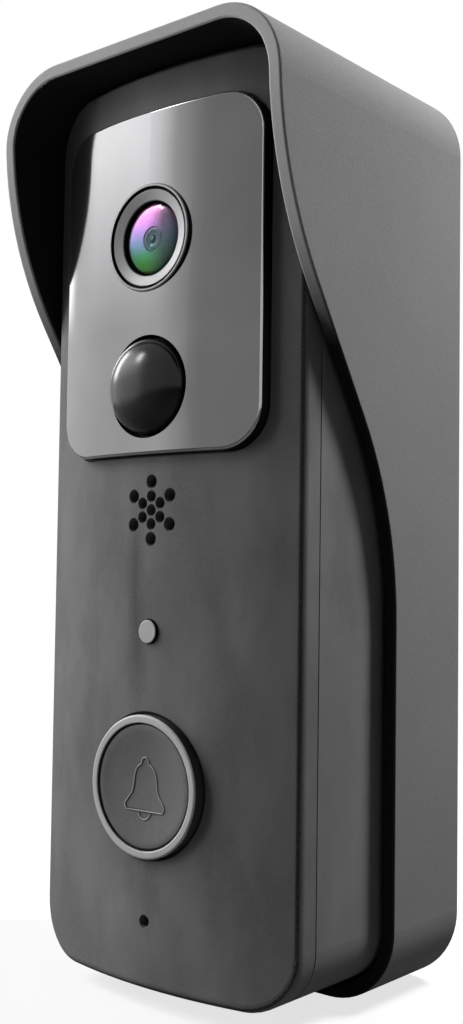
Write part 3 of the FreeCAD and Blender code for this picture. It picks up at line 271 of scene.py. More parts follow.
# The doorbell's case, with the faint handling marks that matt plastic takes
caseLook = {"dark": (0.094, 0.094, 0.096), "light": (0.116, 0.116, 0.118), "cloudScale": 42.0,
            "smear": 0.85, "smearStretch": (72.0, 72.0, 32.0), "smearReach": (0.42, 0.68),
            "smearColour": (0.165, 0.165, 0.166), "rub": 0.5, "rubStretch": (88.0, 88.0, 40.0),
            "rubReach": (0.50, 0.66), "rubColour": (0.066, 0.066, 0.067),
            "speck": 0.3, "speckScale": 2600.0, "speckColour": (0.155, 0.155, 0.155),
            "roughness": (0.54, 0.68), "grain": 0.32, "grainDepth": 0.00005, "grainScale": 3600.0, "gloss": 0.07}
rearCaseLook = dict(caseLook, dark=(0.120, 0.120, 0.122), light=(0.145, 0.145, 0.147), rub=0.35)
paint(["rear_case", "battery_door"], mouldedFinish("rearCasePlastic", rearCaseLook))
frontCaseLook = dict(caseLook, run={"middle": -0.0048, "wander": 0.0044, "wanderScale": 55.0, "halfWidth": 0.0022,
                                    "strength": 0.9, "top": 0.008, "foot": -0.032, "fade": 0.014,
                                    "colour": (0.046, 0.046, 0.047)})
paint(["front_case"], mouldedFinish("frontCasePlastic", frontCaseLook))
# Painted shade: the rounded front edge of the case darker, where it turns away from the lamps
caseEdgeShadeLook = dict(caseLook, dark=(0.022, 0.022, 0.022), light=(0.032, 0.032, 0.032), smear=0.1)
paintFaces(nodes["front_case"], mouldedFinish("caseEdgePaintedShade", caseEdgeShadeLook), facing(-0.88, -0.60))

# The button's cap, smoother than the case
capLook = dict(caseLook, dark=(0.092, 0.092, 0.094), light=(0.110, 0.110, 0.112), cloudScale=120.0,
               roughness=(0.46, 0.56), grain=0.18, smear=0.35, smearStretch=(150.0, 150.0, 60.0), gloss=0.16)

# The smoky mirror panel; its side wall is near black
panelLook = {"dark": (0.098, 0.098, 0.101), "light": (0.138, 0.138, 0.141), "cloudScale": 34.0,
             "roughness": (0.07, 0.10), "ripple": 0.03, "rippleScale": 70.0, "rippleDepth": 0.0004,
             "hair": 0.05, "hairStretch": (500.0, 500.0, 60.0), "metal": 0.9, "coat": 0.25, "coatRoughness": 0.08}
panelEdgeLook = dict(panelLook, dark=(0.006, 0.006, 0.006), light=(0.010, 0.010, 0.010), metal=0.0, coat=0.0,
                     roughness=(0.4, 0.5), gloss=0.1)
paint(["front_panel"], polishedFinish("panelSmoke", panelLook))
paintFaces(nodes["front_panel"], polishedFinish("panelEdgeBlack", panelEdgeLook), facing(-0.25, 0.25))
# Painted highlight: the panel's rounded front edges light grey, as if catching the lamps
panelBevelHighlightLook = dict(panelLook, dark=(0.34, 0.34, 0.343), light=(0.40, 0.40, 0.403), roughness=(0.16, 0.22))
paintFaces(nodes["front_panel"], polishedFinish("panelBevelPaintedHighlight", panelBevelHighlightLook), facing(-0.93, -0.30))

# Satin rings around the lens and the button, and the status window's pin
trimLook = {"dark": (0.19, 0.19, 0.195), "light": (0.25, 0.25, 0.255), "cloudScale": 120.0,
            "roughness": (0.34, 0.44), "ripple": 0.05, "rippleScale": 900.0, "rippleDepth": 0.00005,
            "hair": 0.1, "hairStretch": (900.0, 900.0, 900.0), "metal": 0.2, "coat": 0.0, "gloss": 0.3}
# Painted shade: near black in the lens ring's deep bore and outer groove and on the status pin's sides, where shade
# falls
grooveShadeLook = dict(trimLook, dark=(0.006, 0.006, 0.006), light=(0.012, 0.012, 0.012), metal=0.0, gloss=0.05)
lensMiddle = (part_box("lens_ring")[0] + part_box("lens_ring")[1]) / 2
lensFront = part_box("lens_ring")[0].y
ringGroove = {"boreDepth": 0.0015, "depth": 0.0003, "radius": 0.0073}


def inLensGroove(face):
    radius = math.hypot(face.center.x - lensMiddle.x, face.center.z - lensMiddle.z)
    sunk = face.center.y - lensFront
    return sunk > ringGroove["boreDepth"] or sunk > ringGroove["depth"] and radius > ringGroove["radius"]


paint(["lens_ring"], polishedFinish("lensTrimSatin", trimLook))
paintFaces(nodes["lens_ring"], polishedFinish("lensGroovePaintedShade", grooveShadeLook), inLensGroove)

buttonRingLook = dict(trimLook, dark=(0.34, 0.34, 0.343), light=(0.40, 0.40, 0.403), roughness=(0.42, 0.52),
                      ripple=0.10, rippleScale=1500.0, metal=0.1, gloss=0.2)
paint(["button_ring"], polishedFinish("buttonRingSatin", buttonRingLook))
# Painted shade: the ring's side walls dark, as where they stand in shade
ringWallShadeLook = dict(buttonRingLook, dark=(0.045, 0.045, 0.046), light=(0.060, 0.060, 0.061), metal=0.0, gloss=0.08)
paintFaces(nodes["button_ring"], polishedFinish("buttonRingWallPaintedShade", ringWallShadeLook), facing(-0.35, 0.35))
statusLook = dict(trimLook, dark=(0.30, 0.30, 0.30), light=(0.36, 0.36, 0.355), metal=0.0, gloss=0.3)
paint(["status_window"], polishedFinish("statusLightPipe", statusLook))
paintFaces(nodes["status_window"], polishedFinish("statusSidePaintedShade", grooveShadeLook), facing(-0.5, 0.5))
print("outside finishes made")

# Rubber, foam and the plain black mouldings inside
softLook = {"dark": (0.020, 0.020, 0.020), "light": (0.034, 0.034, 0.034), "cloudScale": 90.0, "speck": 0.25,
            "speckScale": 1800.0, "speckColour": (0.06, 0.06, 0.06), "roughness": (0.70, 0.85), "grain": 0.3,
            "grainDepth": 0.00005, "grainScale": 2400.0, "gloss": 0.2}
foamLook = dict(softLook, dark=(0.030, 0.030, 0.030), light=(0.060, 0.060, 0.060), roughness=(0.85, 0.95),
                grain=1.0, grainDepth=0.00025, grainScale=1400.0, gloss=0.05)
innerLook = dict(softLook, dark=(0.022, 0.022, 0.023), light=(0.034, 0.034, 0.035), roughness=(0.45, 0.6), gloss=0.35)
epoxyLook = dict(softLook, dark=(0.62, 0.60, 0.50), light=(0.74, 0.72, 0.62), roughness=(0.12, 0.2), grain=0.02,
                 speck=0.1, speckColour=(0.8, 0.78, 0.7), gloss=0.5)
chipLook = dict(softLook, dark=(0.018, 0.018, 0.020), light=(0.028, 0.028, 0.030), roughness=(0.5, 0.62), gloss=0.4)
paint(["case_seal", "button_seal", "mic_tube", "service_flap"], mouldedFinish("sealRubber", softLook))
paint(["speaker_foam", "speaker_pad", "panel_tape"], mouldedFinish("closedFoam", foamLook))
paint(["lens_barrel", "lens_holder", "pir_holder", "speaker_frame", "bell_switch", "reset_switch", "reset_button",
       "camera_plug", "bell_plunger"], mouldedFinish("innerPlastic", innerLook))
paint(["status_led", "night_lights"], mouldedFinish("lampEpoxy", epoxyLook))
paint(["processor"], mouldedFinish("chipEpoxy", chipLook))


# Rolled and plated metals, with drawn lines along one axis
def metalFinish(name, look):
    finish, tree, shader, place = newFinish(name)
    cloud = cloudNoise(tree, place, look["cloudScale"], 4.0, 0.6)
    drawn = cloudNoise(tree, stretched(tree, place, look["drawn"]), 1.0, 3.0, 0.7)
    base = mixedColour(tree, spread(tree, cloud, 0, 1), look["dark"], look["light"])
    tree.links.new(mixedColour(tree, spread(tree, drawn, 0, look["stain"]), base, look["stainColour"]),
                   shader.inputs["Base Color"])
    tree.links.new(spread(tree, drawn, *look["roughness"]), shader.inputs["Roughness"])
    tree.links.new(bumped(tree, drawn, *look["drawnBump"]), shader.inputs["Normal"])
    setShine(shader, dict(look, metal=1.0))
    return finish


zincLook = {"dark": (0.42, 0.42, 0.43), "light": (0.58, 0.58, 0.59), "cloudScale": 160.0,
            "drawn": (900.0, 900.0, 90.0), "drawnBump": (0.15, 0.00003), "stain": 0.4,
            "stainColour": (0.36, 0.36, 0.35), "roughness": (0.28, 0.44)}
screwLook = dict(zincLook, dark=(0.30, 0.30, 0.31), light=(0.42, 0.42, 0.43), cloudScale=500.0, roughness=(0.25, 0.4))
tinLook = dict(zincLook, dark=(0.60, 0.60, 0.60), light=(0.72, 0.72, 0.71), roughness=(0.2, 0.32))
brassLook = dict(zincLook, dark=(0.52, 0.36, 0.13), light=(0.68, 0.50, 0.22), stainColour=(0.38, 0.26, 0.10))
nickelLook = dict(zincLook, dark=(0.64, 0.62, 0.58), light=(0.76, 0.74, 0.70), roughness=(0.18, 0.3))
siliconLook = dict(zincLook, dark=(0.06, 0.06, 0.10), light=(0.12, 0.10, 0.18), stainColour=(0.05, 0.12, 0.12),
                   roughness=(0.06, 0.12))
paint(["wall_bracket"], metalFinish("bracketZinc", zincLook))
paint(["light_screws", "board_screws", "speaker_magnet"], metalFinish("screwSteel", screwLook))
paint(["radio_can", "pir_sensor", "microphone", "charging_port"], metalFinish("tinnedSteel", tinLook))
paint(["lock_insert", "antenna"], metalFinish("plainBrass", brassLook))
paint(["battery_contacts"], metalFinish("nickelPlate", nickelLook))
paint(["image_sensor"], metalFinish("siliconDie", siliconLook))


# Woven black cloth behind the speaker holes: two sets of threads, one over the other
def wovenFinish(name, look):
    finish, tree, shader, place = newFinish(name)
    across = waveLines(tree, place, "X", look["threads"])
    along = waveLines(tree, place, "Z", look["threads"])
    weave = combined(tree, "MAXIMUM", across, along)
    tree.links.new(mixedColour(tree, weave, look["gap"], look["thread"]), shader.inputs["Base Color"])
    tree.links.new(bumped(tree, weave, *look["weaveBump"]), shader.inputs["Normal"])
    tree.links.new(spread(tree, weave, *look["roughness"], 0.0, 1.0), shader.inputs["Roughness"])
    setShine(shader, look)
    return finish


clothLook = {"threads": 700.0, "gap": (0.002, 0.002, 0.002), "thread": (0.016, 0.016, 0.017),
             "weaveBump": (0.8, 0.00006), "roughness": (0.9, 0.7), "gloss": 0.1}
paint(["speaker_mesh"], wovenFinish("speakerCloth", clothLook))


# Pressed paper with pulp fibres and rings
def paperFinish(name, look):
    finish, tree, shader, place = newFinish(name)
    fibres = cloudNoise(tree, stretched(tree, place, look["fibres"]), 1.0, 5.0, 0.7)
    base = mixedColour(tree, spread(tree, fibres, 0, 1), look["dark"], look["light"])
    tree.links.new(base, shader.inputs["Base Color"])
    rings = waveLines(tree, place, "DIAGONAL", look["rings"], look["ringWobble"])
    ringed = bumped(tree, rings, *look["ringBump"])
    tree.links.new(bumped(tree, fibres, *look["fibreBump"], ringed), shader.inputs["Normal"])
    tree.links.new(spread(tree, fibres, *look["roughness"]), shader.inputs["Roughness"])
    setShine(shader, look)
    return finish


coneLook = {"dark": (0.045, 0.043, 0.040), "light": (0.085, 0.082, 0.078), "fibres": (1600.0, 1600.0, 500.0),
            "fibreBump": (0.5, 0.00008), "rings": 240.0, "ringWobble": 1.5, "ringBump": (0.2, 0.00010),
            "roughness": (0.8, 0.95), "gloss": 0.1}
paint(["speaker_cone"], paperFinish("coneFibre", coneLook))


# Laminate with solder mask over copper tracks
def laminateFinish(name, look):
    finish, tree, shader, place = newFinish(name)
    bricks = tree.nodes.new("ShaderNodeTexBrick")
    bricks.inputs["Scale"].default_value = look["trackScale"]
    bricks.inputs["Mortar Size"].default_value = look["trackWidth"]
    bricks.inputs["Color1"].default_value = (*look["mask"], 1)
    bricks.inputs["Color2"].default_value = (*look["maskLight"], 1)
    bricks.inputs["Mortar"].default_value = (*look["track"], 1)
    turned = tree.nodes.new("ShaderNodeMapping")
    turned.inputs["Rotation"].default_value = (math.radians(90), 0, 0)
    tree.links.new(place, turned.inputs["Vector"])
    tree.links.new(turned.outputs["Vector"], bricks.inputs["Vector"])
    pads = cellPits(tree, place, look["padScale"])
    onPad = spread(tree, pads, 1, 0, *look["padReach"])
    tree.links.new(mixedColour(tree, onPad, bricks.outputs["Color"], look["pad"]), shader.inputs["Base Color"])
    tree.links.new(bumped(tree, bricks.outputs["Fac"], *look["trackBump"]), shader.inputs["Normal"])
    tree.links.new(spread(tree, pads, *look["roughness"], *look["roughReach"]), shader.inputs["Roughness"])
    setShine(shader, look)
    return finish


boardLook = {"mask": (0.010, 0.060, 0.030), "maskLight": (0.016, 0.085, 0.040), "track": (0.030, 0.130, 0.055),
             "pad": (0.55, 0.52, 0.42), "trackScale": 140.0, "trackWidth": 0.06,
             "trackBump": (0.3, 0.00003), "padScale": 260.0, "padReach": (0.10, 0.14), "roughness": (0.25, 0.4),
             "roughReach": (0.0, 0.5), "gloss": 0.5}
paint(["main_board", "camera_board", "light_board"], laminateFinish("boardLaminate", boardLook))

# Shrunk film around the two cells
sleeveLook = {"dark": (0.030, 0.120, 0.300), "light": (0.050, 0.170, 0.380), "cloudScale": 60.0,
              "roughness": (0.18, 0.28), "ripple": 0.2, "rippleScale": 160.0, "rippleDepth": 0.0003,
              "hair": 0.1, "hairStretch": (300.0, 300.0, 40.0), "metal": 0.0, "coat": 0.5}
paint(["battery_cells"], polishedFinish("cellSleeve", sleeveLook))
print("inside finishes made")


def placed(name, data):
    thing = bpy.data.objects.new(name, data)
    bpy.context.scene.collection.objects.link(thing)
    return thing


def meshFrom(name, shape):
    mesh = bpy.data.meshes.new(name)
    shape.to_mesh(mesh)
    shape.free()
    return mesh


def addPiece(name, mesh, finishes, body, replaced=()):
    piece = placed(name, mesh)
    for finish in finishes:
        mesh.materials.append(finish)
    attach(piece, body)
    if replaced:
        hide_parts(*replaced)


axisReach = 1e-7  # a smaller radius is a point on the axis
quarterTurn = [math.radians(15 * step) for step in range(7)]


# Turns (radius, depth) points about an axis along Y
def turnedMesh(name, points, middle, steps=96):
    shape = bmesh.new()
    rings = []
    for radius, depth in points:
        if radius < axisReach:
            rings.append([shape.verts.new((middle.x, -depth, middle.z))])
            continue
        angles = [2 * math.pi * step / steps for step in range(steps)]
        rings.append([shape.verts.new((middle.x + radius * math.cos(a), -depth, middle.z + radius * math.sin(a)))
                      for a in angles])
    for ring, after in zip(rings, rings[1:]):
        for step in range(steps):
            follow = (step + 1) % steps
            corners = [ring[step % len(ring)], ring[follow % len(ring)],
                       after[follow % len(after)], after[step % len(after)]]
            unique = list(dict.fromkeys(corners))
            if len(unique) > 2:
                shape.faces.new(unique)
    bmesh.ops.recalc_face_normals(shape, faces=shape.faces)
    for face in shape.faces:
        face.smooth = True
    return meshFrom(name, shape)


def sharpenEdges(mesh, degrees):
    mesh.set_sharp_from_angle(angle=math.radians(degrees))


# Motion sensor dome: steep sides that round over into the crown; the steep foot and the part below the panel are
# painted near black as shade
domeLook = {"squareness": 2.3, "rows": 26, "rise": 0.0042, "wall": 0.0008, "flange": 0.0010,
            "flangeThick": 0.0008, "skirt": 0.00732,
            "dark": (0.012, 0.012, 0.013), "light": (0.017, 0.017, 0.018), "cloudScale": 80.0,
            "roughness": (0.15, 0.21), "ripple": 0.05, "rippleScale": 160.0, "rippleDepth": 0.0002,
            "hair": 0.05, "hairStretch": (400.0, 400.0, 400.0), "gloss": 0.24, "coat": 0.0}
# Painted shade: the skirt near black and matt, where the dome's side sits in shade
skirtShadeLook = dict(domeLook, dark=(0.004, 0.004, 0.004), light=(0.007, 0.007, 0.007), roughness=(0.6, 0.7), gloss=0.03)


def domeCurve(look, radius, base, rise):
    power = 2 / look["squareness"]
    curve = []
    for row in range(look["rows"] + 1):
        turn = math.pi / 2 * row / look["rows"]
        curve.append((radius * math.cos(turn) ** power if row < look["rows"] else 0.0,
                      base + rise * math.sin(turn) ** power))
    return curve


def addSensorDome(look):
    low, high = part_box("pir_dome")
    middle = (low + high) / 2
    tip, back = -low.y, -high.y
    flangeRadius = (high.x - low.x) / 2
    radius = flangeRadius - look["flange"]
    front = back + look["flangeThick"]
    base = tip - look["rise"]
    outer = domeCurve(look, radius, base, tip - base)
    inner = domeCurve(look, radius - look["wall"], base, tip - base - look["wall"])
    points = [(radius - look["wall"], back), (flangeRadius, back), (flangeRadius, front), (radius, front)]
    points += outer + inner[::-1] + [(radius - look["wall"], back)]
    mesh = turnedMesh("sensorDome", points, middle)
    sharpenEdges(mesh, degrees=50)
    finishes = [polishedFinish("domeGloss", look), polishedFinish("domeSkirtPaintedShade", skirtShadeLook)]
    addPiece("sensorDome", mesh, finishes, "doorbell", ["pir_dome"])
    for face in mesh.polygons:
        reach = math.hypot(face.center.x - middle.x, face.center.z - middle.z)
        face.material_index = 1 if reach > look["skirt"] or face.center.y > -base else 0


addSensorDome(domeLook)

# Camera window: a clear dome over the coated inner surface, with the small lens in its middle
lensLook = {"glassThick": 0.00006, "squareness": 5.0, "rows": 22, "rise": 0.0011, "coatRadius": 0.00565,
            "coatGap": 0.0001, "coatStart": 0.0002, "backClear": 0.0001, "innerLens": 0.0017,
            "innerGroove": 0.00022, "grooveWidth": 0.0001, "innerSteps": ((0.0, 0.00010), (-0.0003, 0.00014)),
            "glintLens": 0.0007, "glintSteps": ((0.0003, 0.00006), (0.0001, 0.0), (0.0, 0.0)),
            "glintRise": 1.4, "glintRows": 8,
            # The stops are the coating's tint with a painted reflection, green below and pink above
            "stops": ((0.00, (0.018, 0.060, 0.004)), (0.14, (0.014, 0.120, 0.009)), (0.30, (0.026, 0.140, 0.070)),
                      (0.45, (0.080, 0.150, 0.240)), (0.60, (0.230, 0.160, 0.380)), (0.75, (0.400, 0.150, 0.430)),
                      (0.90, (0.600, 0.200, 0.440))),
            "flowScale": 260.0, "flowUp": 0.0012, "flowAcross": 0.0006, "rampReach": (-0.0050, 0.0062),
            # shade, rightShade and leftShade paint shade at the lens's sides
            "shade": (0.008, 0.018, 0.018), "rightShade": (0.90, -0.0008, 0.0026),
            "leftShade": (0.60, -0.0056, -0.0051), "roughness": (0.12, 0.2),
            "shine": {"metal": 0.75, "gloss": 0.05}, "innerShine": {"metal": 0.3, "gloss": 0.10},
            "iris": (0.004, 0.030, 0.030), "irisLine": (0.050, 0.190, 0.200), "irisTone": 0.85,
            "irisEdge": (0.85, 1.1), "ringScale": 9000.0, "ringReach": (0.2, 1.0)}
glassLook = {"dark": (0.010, 0.008, 0.016), "light": (0.020, 0.016, 0.028), "dustScale": 900.0,
             "roughness": (0.02, 0.06), "alpha": 0.10, "gloss": 0.6}


def sphereCurve(radius, base, rise, rows):
    ball = (radius ** 2 + rise ** 2) / (2 * rise)
    steps = [radius - radius * row / rows for row in range(rows + 1)]
    return [(reach, base + rise - ball + math.sqrt(ball ** 2 - reach ** 2)) for reach in steps]


# Bands of colour up the lens, the coating's tint with a painted reflection, darkened at both sides by painted shade,
# with the small lens's rings in the middle
def coatingAndPaintedReflectionFinish(name, look, middle):
    finish, tree, shader, place = newFinish(name)
    shift = tree.nodes.new("ShaderNodeMapping")
    shift.inputs["Location"].default_value = (-middle.x, 0, -middle.z)
    tree.links.new(place, shift.inputs["Vector"])
    centred = shift.outputs["Vector"]
    axes = splitAxes(tree, centred)
    flow = cloudNoise(tree, centred, look["flowScale"], 2.0)
    height = combined(tree, "ADD", axes["Z"], combined(tree, "MULTIPLY", flow, look["flowUp"]))
    ramp = tree.nodes.new("ShaderNodeValToRGB")
    tree.links.new(spread(tree, height, 0, 1, *look["rampReach"]), ramp.inputs["Fac"])
    while len(ramp.color_ramp.elements) < len(look["stops"]):
        ramp.color_ramp.elements.new(0.5)
    for element, (spot, colour) in zip(ramp.color_ramp.elements, look["stops"]):
        element.position = spot
        element.color = (*colour, 1)
    across = combined(tree, "ADD", axes["X"], combined(tree, "MULTIPLY", flow, look["flowAcross"]))
    most, start, end = look["rightShade"]
    shaded = mixedColour(tree, spread(tree, across, 0, most, start, end), ramp.outputs["Color"], look["shade"])
    most, start, end = look["leftShade"]
    shaded = mixedColour(tree, spread(tree, across, most, 0, start, end), shaded, look["shade"])
    flat = tree.nodes.new("ShaderNodeVectorMath")
    flat.operation = "MULTIPLY"
    flat.inputs[1].default_value = (1, 0, 1)
    tree.links.new(centred, flat.inputs[0])
    reach = distance(tree, flat.outputs["Vector"])
    rings = combined(tree, "SINE", combined(tree, "MULTIPLY", reach, look["ringScale"]), 0.0)
    iris = spread(tree, reach, look["irisTone"], 0, *[look["innerLens"] * share for share in look["irisEdge"]])
    ringTone = mixedColour(tree, spread(tree, rings, 0, 1, *look["ringReach"]), look["iris"], look["irisLine"])
    tree.links.new(mixedColour(tree, iris, shaded, ringTone), shader.inputs["Base Color"])
    tree.links.new(spread(tree, flow, *look["roughness"]), shader.inputs["Roughness"])
    setShine(shader, look["shine"])
    return finish


def clearGlassFinish(name, look):
    finish, tree, shader, place = newFinish(name)
    dust = cloudNoise(tree, place, look["dustScale"], 4.0, 0.7)
    base = mixedColour(tree, spread(tree, dust, 0, 1), look["dark"], look["light"])
    tree.links.new(base, shader.inputs["Base Color"])
    tree.links.new(spread(tree, dust, *look["roughness"]), shader.inputs["Roughness"])
    shader.inputs["Alpha"].default_value = look["alpha"]
    setShine(shader, look)
    return finish


def addLens(look):
    low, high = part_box("lens_window")
    middle = (low + high) / 2
    tip, back = -low.y, -high.y
    radius = (high.x - low.x) / 2
    rise, thick, gap = look["rise"], look["glassThick"], look["coatGap"]
    edge = tip - rise
    outer = domeCurve(look, radius, edge, rise)
    inner = domeCurve(look, radius - thick, edge - thick, rise)
    glass = turnedMesh("lensGlass", outer + inner[::-1] + [outer[0]], middle)
    sharpenEdges(glass, degrees=40)
    finishes = [clearGlassFinish("coatedGlass", glassLook)]
    addPiece("lensGlass", glass, finishes, "doorbell", ["lens_window"])
    groove, small = look["innerGroove"], look["innerLens"]
    coat = domeCurve(look, look["coatRadius"], edge - gap, rise - gap)
    coat = [spot for spot in coat if spot[0] > small + look["coatStart"]]
    floor = coat[-1][1] - groove
    points = [(look["coatRadius"], back)] + coat + [(small + look["grooveWidth"], floor), (small, floor)]
    glint = look["glintLens"]
    for start, steps in ((small, look["innerSteps"]), (glint, look["glintSteps"])):
        points += [(start + out, floor + up) for out, up in steps]
    points += sphereCurve(glint, floor, groove * look["glintRise"], look["glintRows"]) + [(0.0, back)]
    coated = turnedMesh("lensCoating", points, middle)
    sharpenEdges(coated, degrees=40)
    finishes = [coatingAndPaintedReflectionFinish("lensCoatingTintAndPaintedReflection", look, middle),
                coatingAndPaintedReflectionFinish("innerLensGloss", dict(look, shine=look["innerShine"]), middle)]
    addPiece("lensCoating", coated, finishes, "doorbell", ["lens_window"])
    for face in coated.polygons:
        reach = math.hypot(face.center.x - middle.x, face.center.z - middle.z)
        face.material_index = 1 if reach < small and face.center.y < -back - look["backClear"] else 0


addLens(lensLook)

# Screws with rolled threads and a recess for the driver, cut into one blank and set at each place
crossOutline = ((1.0, 0.26), (0.26, 0.26), (0.26, 1.0), (-0.26, 1.0), (-0.26, 0.26), (-1.0, 0.26),
                (-1.0, -0.26), (-0.26, -0.26), (-0.26, -1.0), (0.26, -1.0), (0.26, -0.26), (1.0, -0.26))
hexOutline = tuple((math.cos(math.radians(60 * step)), math.sin(math.radians(60 * step))) for step in range(6))
caseScrewLook = {"head": 0.0019, "headHeight": 0.0013, "crown": 0.0003, "shank": 0.0010, "pitch": 0.0005,
                 "thread": 0.00013, "threadEnd": 0.0010, "tipLength": 0.0007, "tipShares": (0.85, 0.4),
                 "outline": crossOutline, "mouth": (1.02, -0.0002), "reach": 0.00105, "recess": 0.0008,
                 "taper": 0.45, "steps": 40}
doorScrewLook = dict(caseScrewLook, headHeight=0.00075, crown=0.0002, recess=0.0005)
lockScrewLook = dict(caseScrewLook, head=0.0027, headHeight=0.00125, shank=0.00145, pitch=0.0007,
                     thread=0.00018, outline=hexOutline, reach=0.00115, taper=0.97)


def recessCutter(look):
    shape = bmesh.new()
    rings = []
    for scale, depth in (look["mouth"], (look["taper"], look["recess"])):
        rings.append([shape.verts.new((x * look["reach"] * scale, -depth, z * look["reach"] * scale))
                      for x, z in look["outline"]])
    count = len(look["outline"])
    for step in range(count):
        follow = (step + 1) % count
        shape.faces.new((rings[0][step], rings[0][follow], rings[1][follow], rings[1][step]))
    shape.faces.new(rings[0])
    shape.faces.new(rings[1])
    bmesh.ops.recalc_face_normals(shape, faces=shape.faces)
    return meshFrom("recessCutter", shape)


def screwBlank(look, length):
    crown, seat = look["crown"], look["headHeight"]
    points = [(0.0, 0.0)]
    points += [(look["head"] - crown + crown * math.sin(turn), crown - crown * math.cos(turn))
               for turn in quarterTurn]
    points += [(look["head"], seat), (look["shank"], seat)]
    depth = seat + look["pitch"]
    while depth < length - look["threadEnd"]:
        points += [(look["shank"], depth), (look["shank"] - look["thread"], depth + look["pitch"] / 2)]
        depth += look["pitch"]
    shoulder, tip = (look["shank"] * share for share in look["tipShares"])
    points += [(shoulder, length - look["tipLength"]), (tip, length), (0.0, length)]
    return turnedMesh("screwBlank", points, Vector((0, 0, 0)), look["steps"])


def addScrews(name, look, node, places, turn, body, finish):
    low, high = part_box(node)
    length = high.z - low.z if turn else high.y - low.y
    blank = placed("blank", screwBlank(look, length))
    cutter = placed("cutter", recessCutter(look))
    cut = blank.modifiers.new("recess", "BOOLEAN")
    cut.operation = "DIFFERENCE"
    cut.solver = "EXACT"
    cut.object = cutter
    single = bpy.data.meshes.new_from_object(blank.evaluated_get(bpy.context.evaluated_depsgraph_get()))
    for piece in (blank, cutter):
        bpy.data.objects.remove(piece)
    shape = bmesh.new()
    for place in places:
        known = len(shape.verts)
        shape.from_mesh(single)
        shape.verts.ensure_lookup_table()
        move = Matrix.Translation(place) @ Matrix.Rotation(-math.pi / 2 if turn else 0, 4, "X")
        bmesh.ops.transform(shape, matrix=move, verts=shape.verts[known:])
    mesh = meshFrom(name, shape)
    sharpenEdges(mesh, degrees=35)
    addPiece(name, mesh, [finish], body, [node])


def placesAtCorners(node, radius, depth):
    low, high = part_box(node)
    return [Vector((x, depth, z)) for x in (low.x + radius, high.x - radius)
            for z in (low.z + radius, high.z - radius)]


headSteel = metalFinish("screwHeadSteel", dict(screwLook, drawn=(700.0, 700.0, 700.0)))
caseBox, doorBox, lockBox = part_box("case_screws"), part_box("door_screw"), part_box("lock_screw")
addScrews("caseScrews", caseScrewLook, "case_screws",
          placesAtCorners("case_screws", caseScrewLook["head"], caseBox[1].y), False, "doorbell", headSteel)
addScrews("doorScrew", doorScrewLook, "door_screw",
          [Vector((0, doorBox[1].y, (doorBox[0].z + doorBox[1].z) / 2))], False, "doorbell", headSteel)
addScrews("lockScrew", lockScrewLook, "lock_screw",
          [Vector((0, (lockBox[0].y + lockBox[1].y) / 2, lockBox[0].z))], True, "locking_screw", headSteel)

# The bell button's cap: a soft dish inside a rounded rim, with a skirt, a stop flange and a stem behind it
buttonLook = {"dish": 0.0007, "dishRadius": 0.0085, "edgeRound": 0.0003, "faceThick": 0.0016, "skirt": 0.0087,
              "skirtInside": 0.0075, "stopThick": 0.0006, "stopBack": 0.0390, "stem": 0.0015, "rows": 24}


def dishDepth(look, front, reach):
    return front - look["dish"] * (1 - min(reach / look["dishRadius"], 1) ** 2)


def addButtonCap(look):
    low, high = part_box("button_cap")
    middle = (low + high) / 2
    front, stemEnd = -low.y, -high.y
    radius = (high.x - low.x) / 2
    back, stopBack = front - look["faceThick"], look["stopBack"]
    stopFront = stopBack + look["stopThick"]
    points = [(0.0, stemEnd), (look["stem"], stemEnd), (look["stem"], back), (look["skirtInside"], back),
              (look["skirtInside"], stopBack), (radius, stopBack), (radius, stopFront), (look["skirt"], stopFront),
              (look["skirt"], back), (radius, back)]
    bend = look["edgeRound"]
    points += [(radius - bend + bend * math.cos(turn), front - bend + bend * math.sin(turn))
               for turn in quarterTurn]
    reaches = [look["dishRadius"] * (1 - row / look["rows"]) for row in range(look["rows"] + 1)]
    points += [(reach, dishDepth(look, front, reach)) for reach in reaches]
    mesh = turnedMesh("buttonCap", points, middle)
    sharpenEdges(mesh, degrees=35)
    finishes = [mouldedFinish("buttonPlastic", capLook)]
    addPiece("buttonCap", mesh, finishes, "bell_button", ["button_cap"])
    return middle, front


# The bell drawn on the cap: a fine bead with a painted highlight in a dark line of painted shade, standing in for the
# lit and shaded walls of a groove
bellLook = {"footDrop": 0.0037, "bead": 0.00013, "beadLift": 0.00002, "line": 0.00025, "lineLift": -0.00015,
            "side": ((0.00375, 0.0), (0.00405, 0.0007), (0.00350, 0.0016), (0.00268, 0.0027), (0.00236, 0.0042),
                     (0.00220, 0.0052), (0.00185, 0.0061), (0.00130, 0.0067), (0.00080, 0.0070), (0.00062, 0.0076)),
            "top": 0.0080, "clapper": 0.00125, "clapperSteps": 8}


def addBellLine(look, buttonShape, middle, front, name, bead, lift, finish):
    outline = list(look["side"]) + [(0.0, look["top"])] + [(-x, height) for x, height in reversed(look["side"])]
    turns = [math.pi * step / look["clapperSteps"] for step in range(look["clapperSteps"] + 1)]
    clapper = [(look["clapper"] * math.cos(turn), -look["clapper"] * math.sin(turn)) for turn in turns]
    curve = bpy.data.curves.new(name, "CURVE")
    curve.dimensions = "3D"
    curve.bevel_depth = bead
    curve.bevel_resolution = 3
    curve.resolution_u = 6
    for points, closed in ((outline, True), (clapper, False)):
        line = curve.splines.new("BEZIER")
        line.bezier_points.add(len(points) - 1)
        line.use_cyclic_u = closed
        for place, (spot, (x, height)) in enumerate(zip(line.bezier_points, points)):
            z = middle.z - look["footDrop"] + height
            depth = dishDepth(buttonShape, front, math.hypot(x, z - middle.z)) + lift
            spot.co = (middle.x + x, -depth, z)
            isCorner = closed and place in (0, len(points) - 1)
            spot.handle_left_type = spot.handle_right_type = "VECTOR" if isCorner else "AUTO"
    curve.materials.append(finish)
    piece = placed(name, curve)
    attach(piece, "bell_button")


